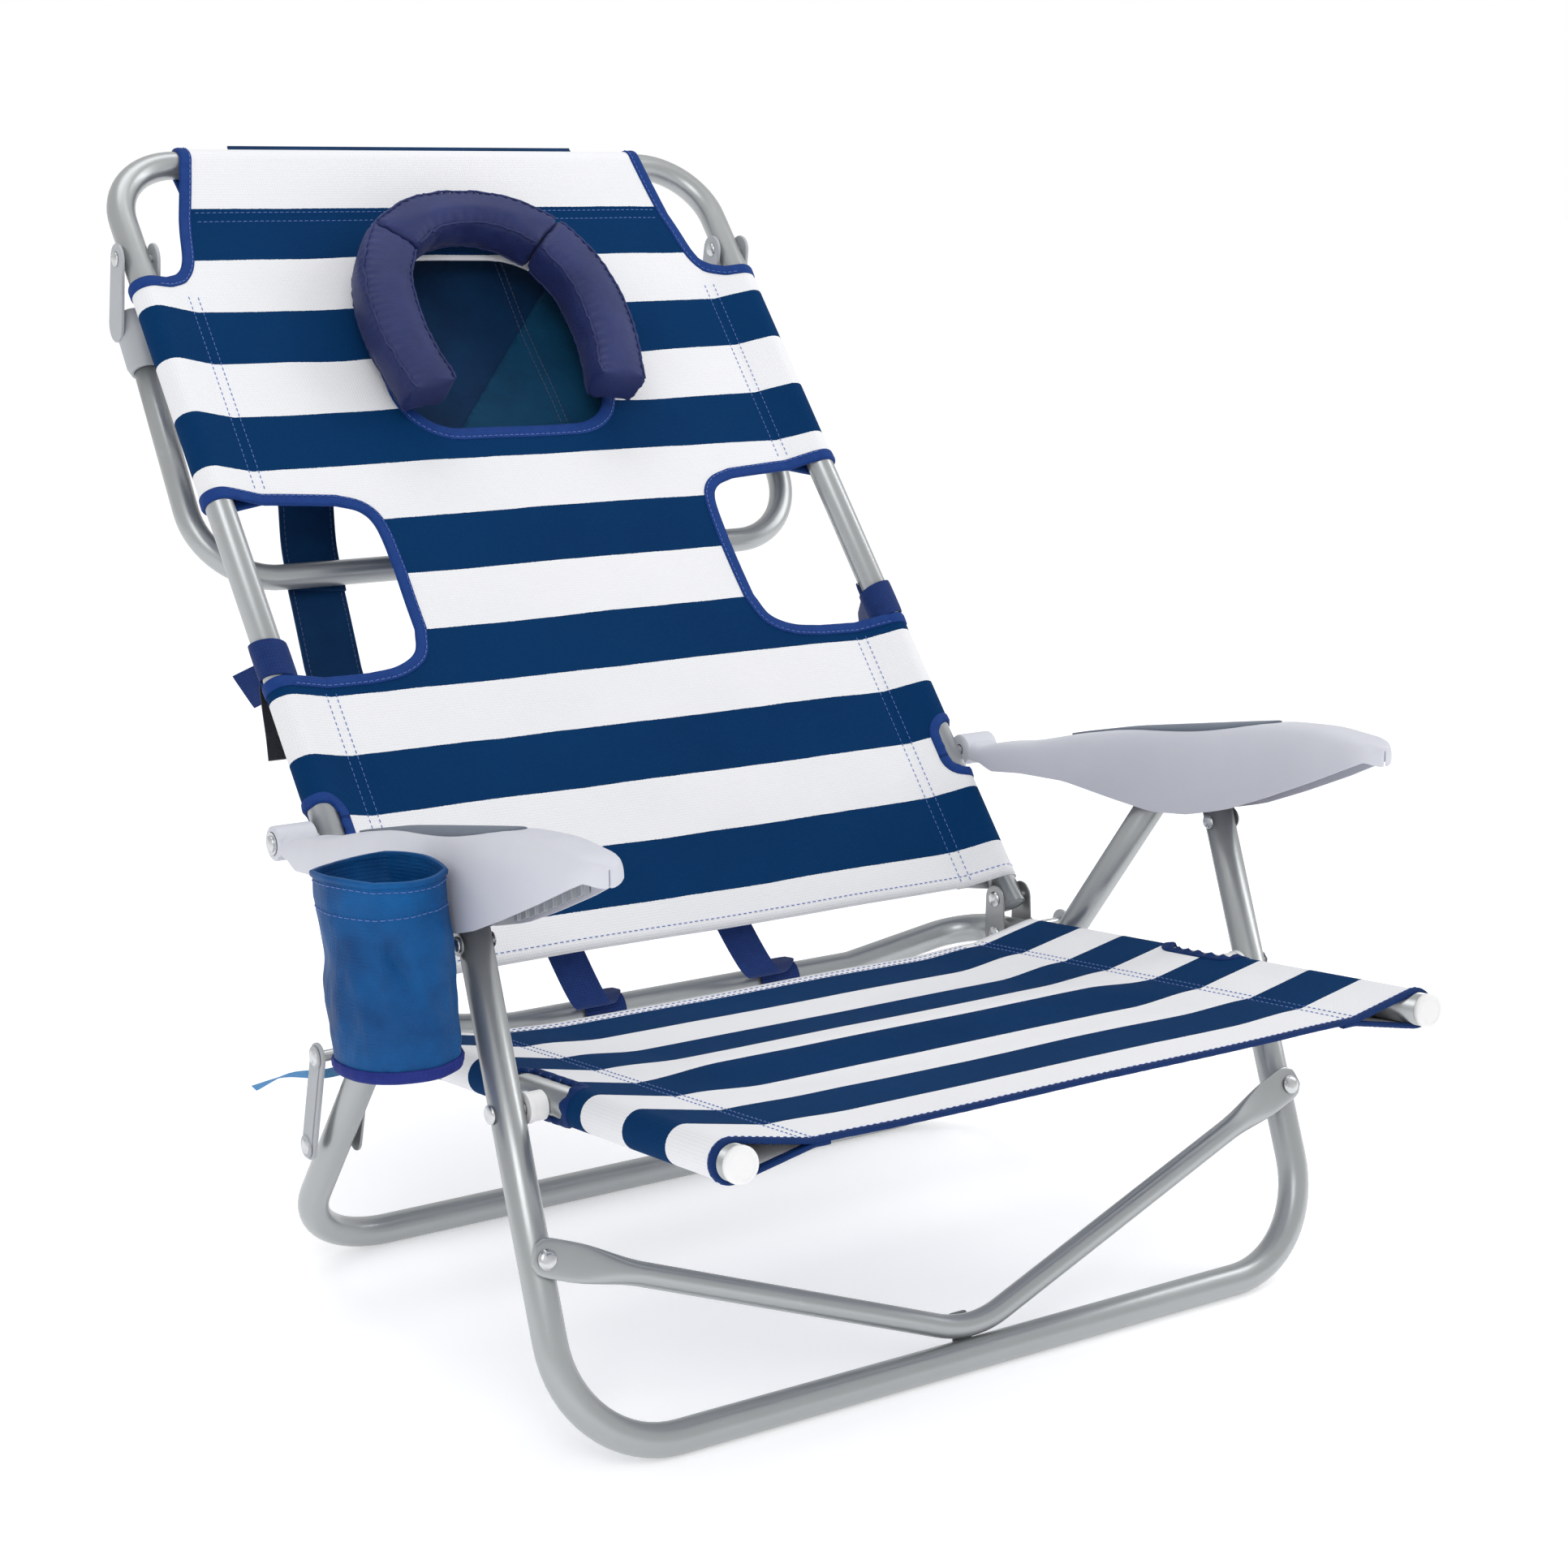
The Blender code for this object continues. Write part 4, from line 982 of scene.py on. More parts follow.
def make_seat_cloth():
    end = SEAT_CLOTH.end - 0.001
    edge = [(-end, SEAT_FRONT_V), (end, SEAT_FRONT_V), (end, SEAT_REAR_V), (-end, SEAT_REAR_V)]
    rows = axis_values(((SEAT_FRONT_V, SEAT_REAR_V, 0.0075),))
    notches = seat_notches()
    sheet = sewn_sheet("seat_sling", SEAT_CLOTH, edge, notches, cloth_columns(SEAT_CLOTH), rows,
        "seat_cloth")
    settle(sheet, "seat", "sling_stripe", "seat_fabric")
    front = [(-end, SEAT_FRONT_V), (end, SEAT_FRONT_V)]
    trim = folded_tape("seat_front_binding", SEAT_CLOTH, front, 1, "dark_binding", False, 0.0055)
    settle(trim, "seat", "webbing")
    for (_, word), notch in zip(SIDES, notches):
        trim = folded_tape(f"{word}_seat_notch_binding", SEAT_CLOTH, notch, -1, "dark_binding", True,
            0.007, 0.0012)
        settle(trim, "seat", "webbing")
    sewing = Stitching()
    for x in (0.2105, 0.2175):
        u = SEAT_CLOTH.u_of(x)
        for side, _ in SIDES:
            line = [(side * u, SEAT_FRONT_V + 0.006), (side * u, SEAT_REAR_V - 0.002)]
            sewing.on_sling(SEAT_CLOTH, line)
            sewing.on_sling(SEAT_CLOTH, [(side * (SEAT_CLOTH.end - x + 0.2045), v) for _, v in line], 0.0,
                False, True)
    for v in (SEAT_REAR_V - 0.006, SEAT_REAR_V - 0.012):
        sewing.on_sling(SEAT_CLOTH, [(-0.20, v), (0.20, v)])
    sewing.on_sling(SEAT_CLOTH,
        [(-end * 0.98, SEAT_FRONT_V + 0.0038), (end * 0.98, SEAT_FRONT_V + 0.0038)], 0.0011)
    sewing.piece("seat_stitches", "seat", "webbing")


def make_seat_frame():
    corners = [
        SEAT.point(0.003, 0, -SEAT_X),
        SEAT.point(SEAT_REAR_T, 0, -SEAT_X),
        SEAT.point(SEAT_REAR_T, -SEAT_BAR_DIP, -0.15),
        SEAT.point(SEAT_REAR_T, -SEAT_BAR_DIP, 0.15),
        SEAT.point(SEAT_REAR_T, 0, SEAT_X),
        SEAT.point(0.003, 0, SEAT_X),
    ]
    path = filleted(corners, (0.038, 0.06, 0.06, 0.038))
    settle(tube_piece("seat_tube", path, TUBE_R), "seat", "tube_steel", "seat_frame")
    towards_front = SEAT.point(-1) - SEAT.point(0)
    for side, word in SIDES:
        start = SEAT.point(0.0028, 0, side * SEAT_X)
        profile = [(0, 0.0096), (0, 0.0108), (0.0006, 0.0113), (0.0030, 0.0113), (0.0042, 0.0109),
            (0.0049, 0.0099)]
        profile += [(0.0050, 0.0088), (0.0046, 0.0084), (0.0047, 0.0040), (0.0048, 0.0)]
        cap = turned(f"{word}_tube_cap", start, towards_front, profile, "white")
        settle(cap, "seat", "white_plastic", f"{word}_seat_cap")
        make_hinge_bracket(side, word)
        make_seat_webbing(side, word)


def make_hinge_bracket(side, word):
    """A folded steel fork that holds the back's foot above the seat's rear corner."""
    outline = capsule((LINK_TOP.y, LINK_TOP.z), (HINGE.y, HINGE.z), 0.0125, 0.0112)
    low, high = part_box(f"{word}_hinge_bracket")
    near, far = sorted((abs(low.x), abs(high.x)))
    thick = 0.0015
    y, z = LINK_TOP.y, LINK_TOP.z
    web = [(y - 0.009, z - 0.0130), (y + 0.009, z - 0.0130), (y + 0.009, z - 0.0113),
        (y - 0.009, z - 0.0113)]
    parts = [
        side_plate("fork_outer", outline, (side * (far - thick), side * far), "bracket", 0.0005),
        side_plate("fork_inner", outline, (side * near, side * (near + thick)), "bracket", 0.0005),
        side_plate("fork_web", web, (side * (near + 0.0004), side * (far - 0.0004)), "bracket", 0.0005),
    ]
    settle(joined(f"{word}_bracket_fork", parts), "seat", "bracket_steel", f"{word}_hinge_bracket")
    rivet = crosswise_pin(f"{word}_fork_bolt", LINK_TOP, side, near - 0.0003, far + 0.0003, 0.004, 0.0058,
        0.0022)
    settle(rivet, "seat", "fastener", f"{word}_bracket_rivet")
    pin = crosswise_pin(f"{word}_hinge_rivet", HINGE, side, near - 0.0003, far + 0.0003, 0.004, 0.0062,
        0.0024)
    settle(pin, "seat", "fastener", f"{word}_hinge_pin")


def make_seat_webbing(side, word):
    """A webbing loop sewn round the rear bar; its long end runs up behind the back's lower hem."""
    bar = SEAT.point(SEAT_REAR_T, -SEAT_BAR_DIP)
    radius = TUBE_R + 0.0013
    centre_x = side * 0.0775
    path = []
    for k in range(25):
        a = math.radians(128 - 375 * k / 24)
        swell = 0.0015 * k / 24
        path.append(Vector((centre_x, bar.y + (radius + swell) * math.cos(a),
            bar.z + (radius + swell) * math.sin(a))))
    loop = webbing_strip(f"{word}_bar_webbing", path, path_normals(path, (1, 0, 0)), 0.034, 0.0016,
        "webbing")
    settle(loop, "seat", "webbing", f"{word}_seat_strap")
    top = bar.z + radius + 0.0026
    end_x = -0.118 if side < 0 else 0.026
    controls = [
        (centre_x, bar.y + 0.004, top),
        (centre_x, bar.y - 0.008, top + 0.0005),
        (centre_x * 0.4 + end_x * 0.6, bar.y - 0.034, top + 0.0035),
        (end_x, HINGE.y + 0.026, HINGE.z + 0.0105),
        (end_x - 0.004, HINGE.y + 0.022, HINGE.z + 0.0190),
    ]
    path = [Vector(point) for point in smooth_curve(controls, 8)]
    tail = webbing_strip(f"{word}_bar_webbing_end", path, path_normals(path, (1, 0, 0)), 0.030, 0.0016,
        "webbing")
    settle(tail, "seat", "webbing")
    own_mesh(tail)


# ---- legs ---------------------------------------------------------------------------------------
FRONT_TOP_Q = FRONT.locate(end_centre("front_leg_frame", (0, 0, 1)))[0]
REAR_TOP_Q = REAR.locate(end_centre("rear_leg_frame", (0, 0, 1)))[0]
LEG_BEND_R = 0.075
PIN_Q = FRONT.locate(end_centre("left_leg_pin", (0, 0, 1), 0.02))[0]
BRACE_Q = FRONT.locate(end_centre("left_brace_rivet", (0, 0, 1), 0.02))[0]


def leg_path(view, half_width, top):
    corners = [view.point(top, 0, -half_width), view.point(0, 0, -half_width)]
    corners += [view.point(0, 0, half_width), view.point(top, 0, half_width)]
    return filleted(corners, (LEG_BEND_R, LEG_BEND_R), 16)


def make_front_legs():
    body = "front_legs"
    tube = tube_piece("front_leg_tube", leg_path(FRONT, FRONT_X, FRONT_TOP_Q), TUBE_R)
    settle(tube, body, "tube_steel", "front_leg_frame")
    pivot = PIVOT["front_leg_fold"]
    pin_place = FRONT.point(PIN_Q)
    hinge = PIVOT["rear_leg_fold"]
    for side, word in SIDES:
        bolt = crosswise_pin(f"{word}_seat_bolt_round", pivot, side, 0.2580, 0.3174, 0.004, 0.0062, 0.0026)
        settle(bolt, body, "fastener", f"{word}_seat_bolt")
        profile = [(0, 0.0047), (0, 0.0090), (0.0004, 0.0095), (0.0094, 0.0095), (0.0098, 0.0090)]
        profile += [(0.0098, 0.0102), (0.0132, 0.0102), (0.0132, 0.0047)]
        spacer = ring_piece(f"{word}_spacer_sleeve", aside(pivot, side * 0.2812), (side, 0, 0), profile,
            "white")
        settle(spacer, body, "white_plastic", f"{word}_spacer")
        low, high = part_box(f"{word}_leg_plate")
        near, far = sorted((abs(low.x), abs(high.x)))
        outline = capsule((pin_place.y, pin_place.z), (hinge.y, hinge.z), 0.0075)
        plate = side_plate(f"{word}_top_plate", outline, (side * near, side * far), "steel", 0.0004)
        settle(plate, body, "tube_steel", f"{word}_leg_plate")
        pin = crosswise_pin(f"{word}_top_rivet", pin_place, side, 0.2946, far + 0.0003, 0.0035, 0.0052,
            0.0020)
        settle(pin, body, "fastener", f"{word}_leg_pin")
        top = FRONT.point(FRONT_TOP_Q, 0, side * FRONT_X)
        plug = turned(f"{word}_leg_plug", top, FRONT.along,
            [(-0.006, 0.0098), (-0.0006, 0.0098)] + dome(-0.0006, 0.0098, 0.0022), "grey_plastic")
        settle(plug, body, "grey_plastic")
    make_brace()


def make_brace():
    """The V tube between the front legs: round in the middle, pressed into paddles at its ends."""
    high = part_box("front_brace")[1]
    end_n = TUBE_R + 0.0034
    end_x = high.x - BRACE_R * 0.2
    left = FRONT.point(BRACE_Q + 0.0045, end_n, -end_x)
    right = FRONT.point(BRACE_Q + 0.0045, end_n, end_x)
    middle = FRONT.point(TUBE_R + BRACE_R - 0.0046, 0, 0)
    path = filleted((left, middle, right), (0.075,), 20)
    path = [Vector(point) for point in resampled(path, 0.0045)]
    facing = FRONT.normal
    points = []
    for point, (tangent, _, _) in zip(path, frames_along(path)):
        from_end = min((point - path[0]).length, (path[-1] - point).length)
        flat = min(1.0, max(0.0, (from_end - 0.026) / 0.050))
        flat = flat * flat * (3 - 2 * flat)
        depth = BRACE_R * (0.26 + 0.74 * flat)
        width = BRACE_R * (1.55 - 0.55 * flat)
        round_end = min(1.0, from_end / 0.012)
        width *= 0.55 + 0.45 * math.sqrt(round_end * (2 - round_end))
        normal = (facing - tangent * facing.dot(tangent)).normalized()
        side = tangent.cross(normal)
        power = 0.55 + 0.45 * flat
        for j in range(ROUND):
            a = 2 * math.pi * j / ROUND
            c, s = math.cos(a), math.sin(a)
            out = math.copysign(abs(c) ** power, c) * depth
            points.append(point + normal * out + side * s * width)
    faces = grid_faces(len(path), ROUND)
    faces.append(tuple(range(ROUND)))
    faces.append(tuple((len(path) - 1) * ROUND + j for j in range(ROUND)))
    brace = outward(add_mesh("brace_tube", points, faces, "steel"))
    settle(brace, "front_legs", "tube_steel", "front_brace")
    for side, word in SIDES:
        low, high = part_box(f"{word}_brace_rivet")
        centre = (low + high) / 2
        start = FRONT.point(BRACE_Q, end_n + 0.0022, centre.x)
        profile = [(-0.012, 0.0035), (0.0, 0.0035), (0.0, 0.0062), (0.0006, 0.0066)] + dome(0.0012,
            0.0060, 0.0022)
        rivet = turned(f"{word}_brace_rivet_round", start, FRONT.normal, profile, "zinc", 24)
        settle(rivet, "front_legs", "fastener", f"{word}_brace_rivet")
    outline = rounded(((-0.008, -0.007), (0.008, -0.007), (0.008, 0.028), (-0.008, 0.028)), 0.003)
    span = (-TUBE_R - 0.0017, -TUBE_R - 0.0004)
    clip = flat_plate("brace_clip_plate", outline, lambda a, b, c: FRONT.point(b, c, a), span, "steel",
        0.0004)
    settle(clip, "front_legs", "tube_steel", "brace_clip")


def make_rear_legs():
    body = "rear_legs"
    tube = tube_piece("rear_leg_tube", leg_path(REAR, REAR_X, REAR_TOP_Q), TUBE_R)
    settle(tube, body, "tube_steel", "rear_leg_frame")
    hinge = PIVOT["rear_leg_fold"]
    for side, word in SIDES:
        pin = crosswise_pin(f"{word}_leg_hinge_rivet", hinge, side, 0.2924, 0.3190, 0.0035, 0.0052, 0.0020)
        settle(pin, body, "fastener", f"{word}_leg_hinge_pin")


def make_links():
    """Moulded links outside the rear legs, steel plates inside, one bolt through both."""
    low_end = end_centre("left_link_outer", (0, 0, -1), 0.004)
    bottom_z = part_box("left_link_outer")[0].z + 0.0100
    foot = (low_end.y, bottom_z)
    top = (LINK_TOP.y, LINK_TOP.z)
    for side, word in SIDES:
        for which, material, slot in (("outer", "grey_plastic", "grey_plastic"),
            ("inner", "bracket", "grey_plastic")):
            low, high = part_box(f"{word}_link_{which}")
            near, far = sorted((abs(low.x), abs(high.x)))
            outline = capsule(foot, top, 0.0100)
            parts = [side_plate("link_body", outline, (side * near, side * far), material, 0.0009)]
            if which == "outer":
                rib = capsule(foot, top, 0.0066)
                parts.append(side_plate("link_rib", rib, (side * (far - 0.0002), side * (far + 0.0010)),
                    material, 0.0006))
                for end in (foot, top):
                    start = aside(Vector((0, *end)), side * (far + 0.0006))
                    rim = [(0, 0.0052), (0, 0.0082), (0.0010, 0.0080), (0.0014, 0.0072), (0.0014, 0.0052)]
                    parts.append(ring_piece("link_rim", start, (side, 0, 0), rim, material, 24))
            settle(joined(f"{word}_link_{which}_moulded", parts), "links", slot, f"{word}_link_{which}")
        bolt = crosswise_pin(f"{word}_link_bolt_round", LINK_TOP, side, 0.2887, 0.3275, 0.004, 0.0060,
            0.0024)
        settle(bolt, "links", "fastener", f"{word}_link_bolt")
        foot_place = Vector((0, *foot))
        rivet = crosswise_pin(f"{word}_link_foot_rivet", foot_place, side, 0.3258, 0.3275, 0.004, 0.0056,
            0.0022)
        settle(rivet, "links", "fastener")


# ---- back ---------------------------------------------------------------------------------------
def back_ripple(u, v):
    """Soft waves of the back cloth, stilled near its tubes."""
    middle = max(0.0, 1 - (u / 0.235) ** 2) if abs(u) < 0.235 else 0.0
    still_top = min(1.0, max(0.0, (0.705 - v) / 0.05))
    wave = noise.noise(Vector((u * 5, v * 8, 9.7))) * 0.0042 + noise.noise(Vector((u * 15, v * 19,
        2.3))) * 0.0012
    near_pillow = math.exp(-(((abs(u) - 0.135) / 0.03) ** 2) - ((v - 0.535) / 0.05) ** 2)
    return (wave * min(1.0, middle * 2.5) - 0.0035 * near_pillow) * still_top


BACK_CLOTH = Sling(BACK, BACK_X, 0.236, 0.010, back_ripple)
BACK_LOW_V = 0.014
BACK_TOP_V = BACK_CLOTH.roll_over(BACK_LENGTH, TUBE_R, 0.062)


def back_edge():
    """Outline of the back cloth from the bottom hem up one side, over the top, and down the other."""
    end = BACK_CLOTH.end - 0.001
    arm_low, arm_high = 0.2605, 0.4175
    side_line = [(end, BACK_LOW_V), (end, arm_low), (0.262, arm_low)]
    side_line += smooth_curve([(0.200, 0.2608), (0.176, 0.2640), (0.157, 0.2750), (0.1495, 0.2960)], 6)
    side_line += smooth_curve([(0.1490, 0.350), (0.1512, 0.3880), (0.1600, 0.4040), (0.1780, 0.4110)], 6)
    side_line += [(0.225, 0.4150), (0.262, arm_high), (end, arm_high)]
    side_line += [(end, 0.6205), (0.276, 0.6215)]
    side_line += smooth_curve([(0.256, 0.6235), (0.242, 0.6310), (0.2330, 0.6450), (0.2265, 0.6750),
        (0.2160, 0.7180)], 6)
    side_line += [(0.2105, 0.7420), (0.2105, BACK_TOP_V)]
    return side_line + [(-u, v) for u, v in side_line[::-1]]


def bolt_notches():
    outlines = []
    u_low, u_high = BACK_CLOTH.front_tangent - 0.004, BACK_CLOTH.back_tangent - 0.006
    for side, _ in SIDES:
        corners = [(side * u_low, 0.112), (side * u_high, 0.112), (side * u_high, 0.157),
            (side * u_low, 0.157)]
        outlines.append(rounded(corners if side > 0 else corners[::-1], 0.013))
    return outlines


def face_opening():
    corners = ((-0.092, 0.472), (0.092, 0.472), (0.092, 0.640), (-0.092, 0.640))
    return rounded(corners, (0.040, 0.040, 0.060, 0.060))


def between(outline, first, last):
    """The part of an outline from the point nearest first to the one nearest last."""
    line = np.array(outline)
    start = int(np.argmin(np.linalg.norm(line - first, axis=1)))
    stop = int(np.argmin(np.linalg.norm(line - last, axis=1)))
    return [tuple(point) for point in line[min(start, stop) : max(start, stop) + 1]]


def make_back_cloth():
    edge = back_edge()
    notches = bolt_notches()
    opening = face_opening()
    rows = axis_values(((BACK_LOW_V, 0.70, 0.0078), (0.70, BACK_LENGTH - 0.006, 0.006),
        (BACK_LENGTH - 0.006, BACK_LENGTH + 0.045, 0.0024), (BACK_LENGTH + 0.045, BACK_TOP_V, 0.007)))
    sheet = sewn_sheet("back_sling", BACK_CLOTH, edge, [opening, *notches], cloth_columns(BACK_CLOTH),
        rows, "back_cloth")
    settle(sheet, "back", "sling_stripe", "back_fabric")
    end = BACK_CLOTH.end - 0.001
    sewing = Stitching()
    for side, word in SIDES:
        outline = [(side * u, v) for u, v in edge[: len(edge) // 2]]
        arm = between(outline, (side * end, 0.2605), (side * end, 0.4175))
        corner = between(outline, (side * end, 0.6205), (side * 0.2105, BACK_TOP_V))
        inward = side
        for name, line in (("arm_hole", arm), ("top_corner", corner)):
            tape = folded_tape(f"{word}_{name}_binding", BACK_CLOTH, line, inward, "binding", False)
            settle(tape, "back", "webbing")
            seam = offset_loop(line, inward * (BINDING - 0.0018), False)
            seam = [point for point in seam if abs(point[0]) < BACK_CLOTH.front_tangent]
            sewing.on_sling(BACK_CLOTH, seam, 0.0012)
    for (_, word), notch in zip(SIDES, notches):
        tape = folded_tape(f"{word}_bolt_notch_binding", BACK_CLOTH, notch, -1, "binding", True, 0.007,
            0.0006)
        settle(tape, "back", "webbing")
    lower = [point for point in opening if point[1] < 0.585]
    lower.sort(key=lambda point: math.atan2(point[0], -(point[1] - 0.56)))
    tape = folded_tape("face_opening_binding", BACK_CLOTH, lower, -1, "binding", False, 0.010)
    settle(tape, "back", "webbing")
    sewing.on_sling(BACK_CLOTH, offset_loop(lower, -0.0082, False), 0.0012)
    for x in (0.2315, 0.2400):
        u = BACK_CLOTH.u_of(x)
        for side, _ in SIDES:
            for low, high in ((BACK_LOW_V + 0.003, 0.2510), (0.4270, 0.6120)):
                sewing.on_sling(BACK_CLOTH, [(side * u, low), (side * u, high)])
                sewing.on_sling(BACK_CLOTH,
                    [(side * (BACK_CLOTH.end - x + 0.2270), low),
                        (side * (BACK_CLOTH.end - x + 0.2270), high)], 0.0, False, True)
    for v in (0.6830, 0.6915):
        sewing.on_sling(BACK_CLOTH, [(-0.212, v), (0.212, v)])
    sewing.on_sling(BACK_CLOTH, [(-end * 0.97, BACK_LOW_V + 0.009), (end * 0.97, BACK_LOW_V + 0.009)])
    sewing.piece("back_stitches", "back", "webbing")


def make_back_frame():
    corners = [BACK.point(-0.0075, 0, -BACK_X), BACK.point(BACK_LENGTH, 0, -BACK_X)]
    corners += [BACK.point(BACK_LENGTH, 0, BACK_X), BACK.point(-0.0075, 0, BACK_X)]
    path = filleted(corners, (0.058, 0.058), 16)
    settle(tube_piece("back_tube", path, TUBE_R), "back", "tube_steel", "back_frame")
    for side, word in SIDES:
        foot = BACK.point(-0.0075, 0, side * BACK_X)
        plug = turned(f"{word}_back_foot_plug", foot, -BACK.along,
            [(-0.006, 0.0098), (-0.0006, 0.0098)] + dome(-0.0006, 0.0098, 0.0018), "grey_plastic")
        settle(plug, "back", "grey_plastic")
        make_side_tie(side, word)


def make_side_tie(side, word):
    """Webbing wrapped round the back tube below the arm hole, its end sticking out behind."""
    tie_s = 0.281
    radius = TUBE_R + 0.0013
    path, across = [], []
    for k in range(33):
        a = math.radians(200 + 400 * k / 32)
        grown = radius + 0.0016 * k / 32
        slant = 0.006 * math.sin(a * 0.5)
        place = BACK.point(tie_s + slant, grown * math.sin(a), side * (BACK_X + grown * math.cos(a)))
        path.append(place)
        across.append(BACK.along)
    tip = path[-1]
    heading = (path[-1] - path[-2]).normalized()
    for k in range(1, 7):
        droop = -BACK.normal * 0.004 * k + BACK.along * 0.001 * k
        path.append(tip + heading * 0.0030 * k + droop)
        across.append((BACK.along + Vector((0.05 * k * side, 0, 0))).normalized())
    normals = []
    for k, (tangent, _, _) in enumerate(frames_along(path)):
        normals.append(across[k].cross(tangent).normalized())
    tie = webbing_strip(f"{word}_tie_webbing", path, normals, 0.030, 0.0017, "webbing", across)
    settle(tie, "back", "webbing", f"{word}_side_tie")


TOP_STRIP_RISE = 0.0255  # middle of the strip above the top bar's centre line
TOP_STRIP_GAP = 0.0105  # strip behind the top bar
TOP_STRIP_WIDTH, TOP_STRIP_THICKNESS = 0.026, 0.0022


def make_back_trimmings():
    """A narrow navy strip behind the top bar, and a black keeper strip behind the left tie."""
    behind = -TUBE_R - TOP_STRIP_GAP
    path = [BACK.point(BACK_LENGTH + TOP_STRIP_RISE, behind, x) for x in np.linspace(-0.150, 0.170, 33)]
    across = [BACK.along] * len(path)
    strip = webbing_strip("top_strip", path, [BACK.normal] * len(path),
        TOP_STRIP_WIDTH, TOP_STRIP_THICKNESS, "strap", across)
    settle(strip, "back", "navy_cloth")
    controls = [(0.286, -0.0300, -0.262), (0.258, -0.0335, -0.266), (0.236, -0.0330, -0.270),
        (0.218, -0.0350, -0.273)]
    path = [BACK.point(s, n, x) for s, n, x in smooth_curve(controls, 6)]
    across = [Vector((1, 0, 0))] * len(path)
    keeper = webbing_strip("left_keeper_strip", path, path_normals(path, (1, 0, 0)), 0.018, 0.0020,
        "black", across)
    settle(keeper, "back", "navy_cloth")


def make_loose_tie():
    """A thin pale ribbon knotted to the seat's left rear corner, its end blowing outwards."""
    corner = SEAT.point(SEAT_REAR_T - 0.045, 0, -SEAT_X)
    controls = [
        corner + Vector((0.002, 0, -TUBE_R - 0.0015)),
        corner + Vector((-0.016, 0.004, -TUBE_R - 0.003)),
        corner + Vector((-0.040, 0.014, -TUBE_R - 0.009)),
        corner + Vector((-0.064, 0.028, -TUBE_R - 0.010)),
        corner + Vector((-0.086, 0.034, -TUBE_R - 0.017)),
    ]
    path = [Vector(point) for point in smooth_curve(controls, 7)]
    across = [Vector((0.1, math.cos(k * 0.12), math.sin(k * 0.12))).normalized() for k in range(len(path))]
    normals = [(t.cross(a)).normalized() for a, (t, _, _) in zip(across, frames_along(path))]
    ribbon = webbing_strip("left_loose_tie", path, normals, 0.007, 0.0009, "pale_tie", across)
    settle(ribbon, "seat", "webbing")


def flap_place(x, s):
    """The flap behind the face opening hangs slack, with a diagonal fold and a seam."""
    past_fold = (x + 0.05) * 0.736 - (s - 0.475) * 0.677
    n = -0.0200 + 0.07 * max(0.0, past_fold) + 0.0022 * math.exp(-(((x - 0.052) / 0.004) ** 2))
    n += noise.noise(Vector((x * 14, s * 12, 5.0))) * 0.0030
    return min(-0.0118, n)


def flap_sheet(name, outline, lift, material):
    """A piece of slack cloth behind the face opening, cut to an outline of (x, s)."""
    loop = resampled(outline, 0.004, True)
    xs, ss = np.arange(-0.17, 0.171, 0.006), np.arange(0.408, 0.690, 0.006)
    grid = np.array([(x, s) for s in ss for x in xs])
    grid = grid[inside(grid, loop)]
    grid = np.array([p for p in grid if np.min(np.abs(loop - p).sum(axis=1)) > 0.003])
    points = np.vstack([loop, grid])
    edges = [(j, (j + 1) % len(loop)) for j in range(len(loop))]
    cut = delaunay_2d_cdt([Vector(point) for point in points], edges, [], 0, 1e-7, False)
    flat = np.array([tuple(point) for point in cut[0]])
    faces = [face for face in cut[2] if len(face) == 3 and inside([flat[list(face)].mean(axis=0)], loop)[0]]
    places = [BACK.point(s, flap_place(x, s) + lift, x) for x, s in flat]
    sheet = add_mesh(name, places, [tuple(face) for face in faces], material, 80.0)
    solidified(sheet, 0.0006)
    return sheet, loop


def make_flap():
    corners = ((-0.172, 0.405), (0.172, 0.405), (0.160, 0.690), (-0.160, 0.690))
    flap, loop = flap_sheet("face_flap_cloth", rounded(corners, (0.062, 0.062, 0.02, 0.02)), 0.0, "flap")
    settle(flap, "back", "navy_cloth", "face_flap")
    # A second cloth layer on the triangle past the diagonal fold, in a lighter copy of the flap cloth:
    # painted light for the fold's lit side, brighter than its tilt alone makes it.
    fold, _ = flap_sheet("face_flap_fold",
        rounded(((-0.085, 0.437), (0.100, 0.437), (0.100, 0.638)), 0.006), 0.0010, "flap_fold")
    settle(fold, "back", "navy_cloth")
    rim = [Vector(BACK.point(s, flap_place(x, s), x)) for x, s in loop if s < 0.60]
    order = sorted((p for p in rim), key=lambda p: math.atan2(p.x, -(BACK.locate(p)[0] - 0.56)))
    normals = [BACK.normal] * len(order)
    hem = webbing_strip("face_flap_hem", order, normals, 0.008, 0.0026, "dark_binding",
        across_inward(order))
    settle(hem, "back", "webbing")
    sewing = Stitching()
    for x in (0.049, 0.055):
        line = [BACK.point(s, flap_place(x, s) + 0.0018, x) for s in np.arange(0.43, 0.66, 0.006)]
        sewing.row(line, [BACK.normal] * len(line))
    sewing.piece("face_flap_stitches", "back", "webbing", "navy_thread")


def across_inward(path):
    """Width directions of a flat hem that follows a path on the back."""
    return [BACK.normal.cross(tangent).normalized() for tangent, _, _ in frames_along(path)]


# ---- pillow -------------------------------------------------------------------------------------
PILLOW_N = BACK.locate((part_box("head_pillow")[0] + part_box("head_pillow")[1]) / 2)[1]
PILLOW_HALF_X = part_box("head_pillow")[1].x - 0.0265
MITRE = (0.0700, 0.6350)
MITRE_FOCUS = 0.5750  # both seams of the arch point at this height on the middle line


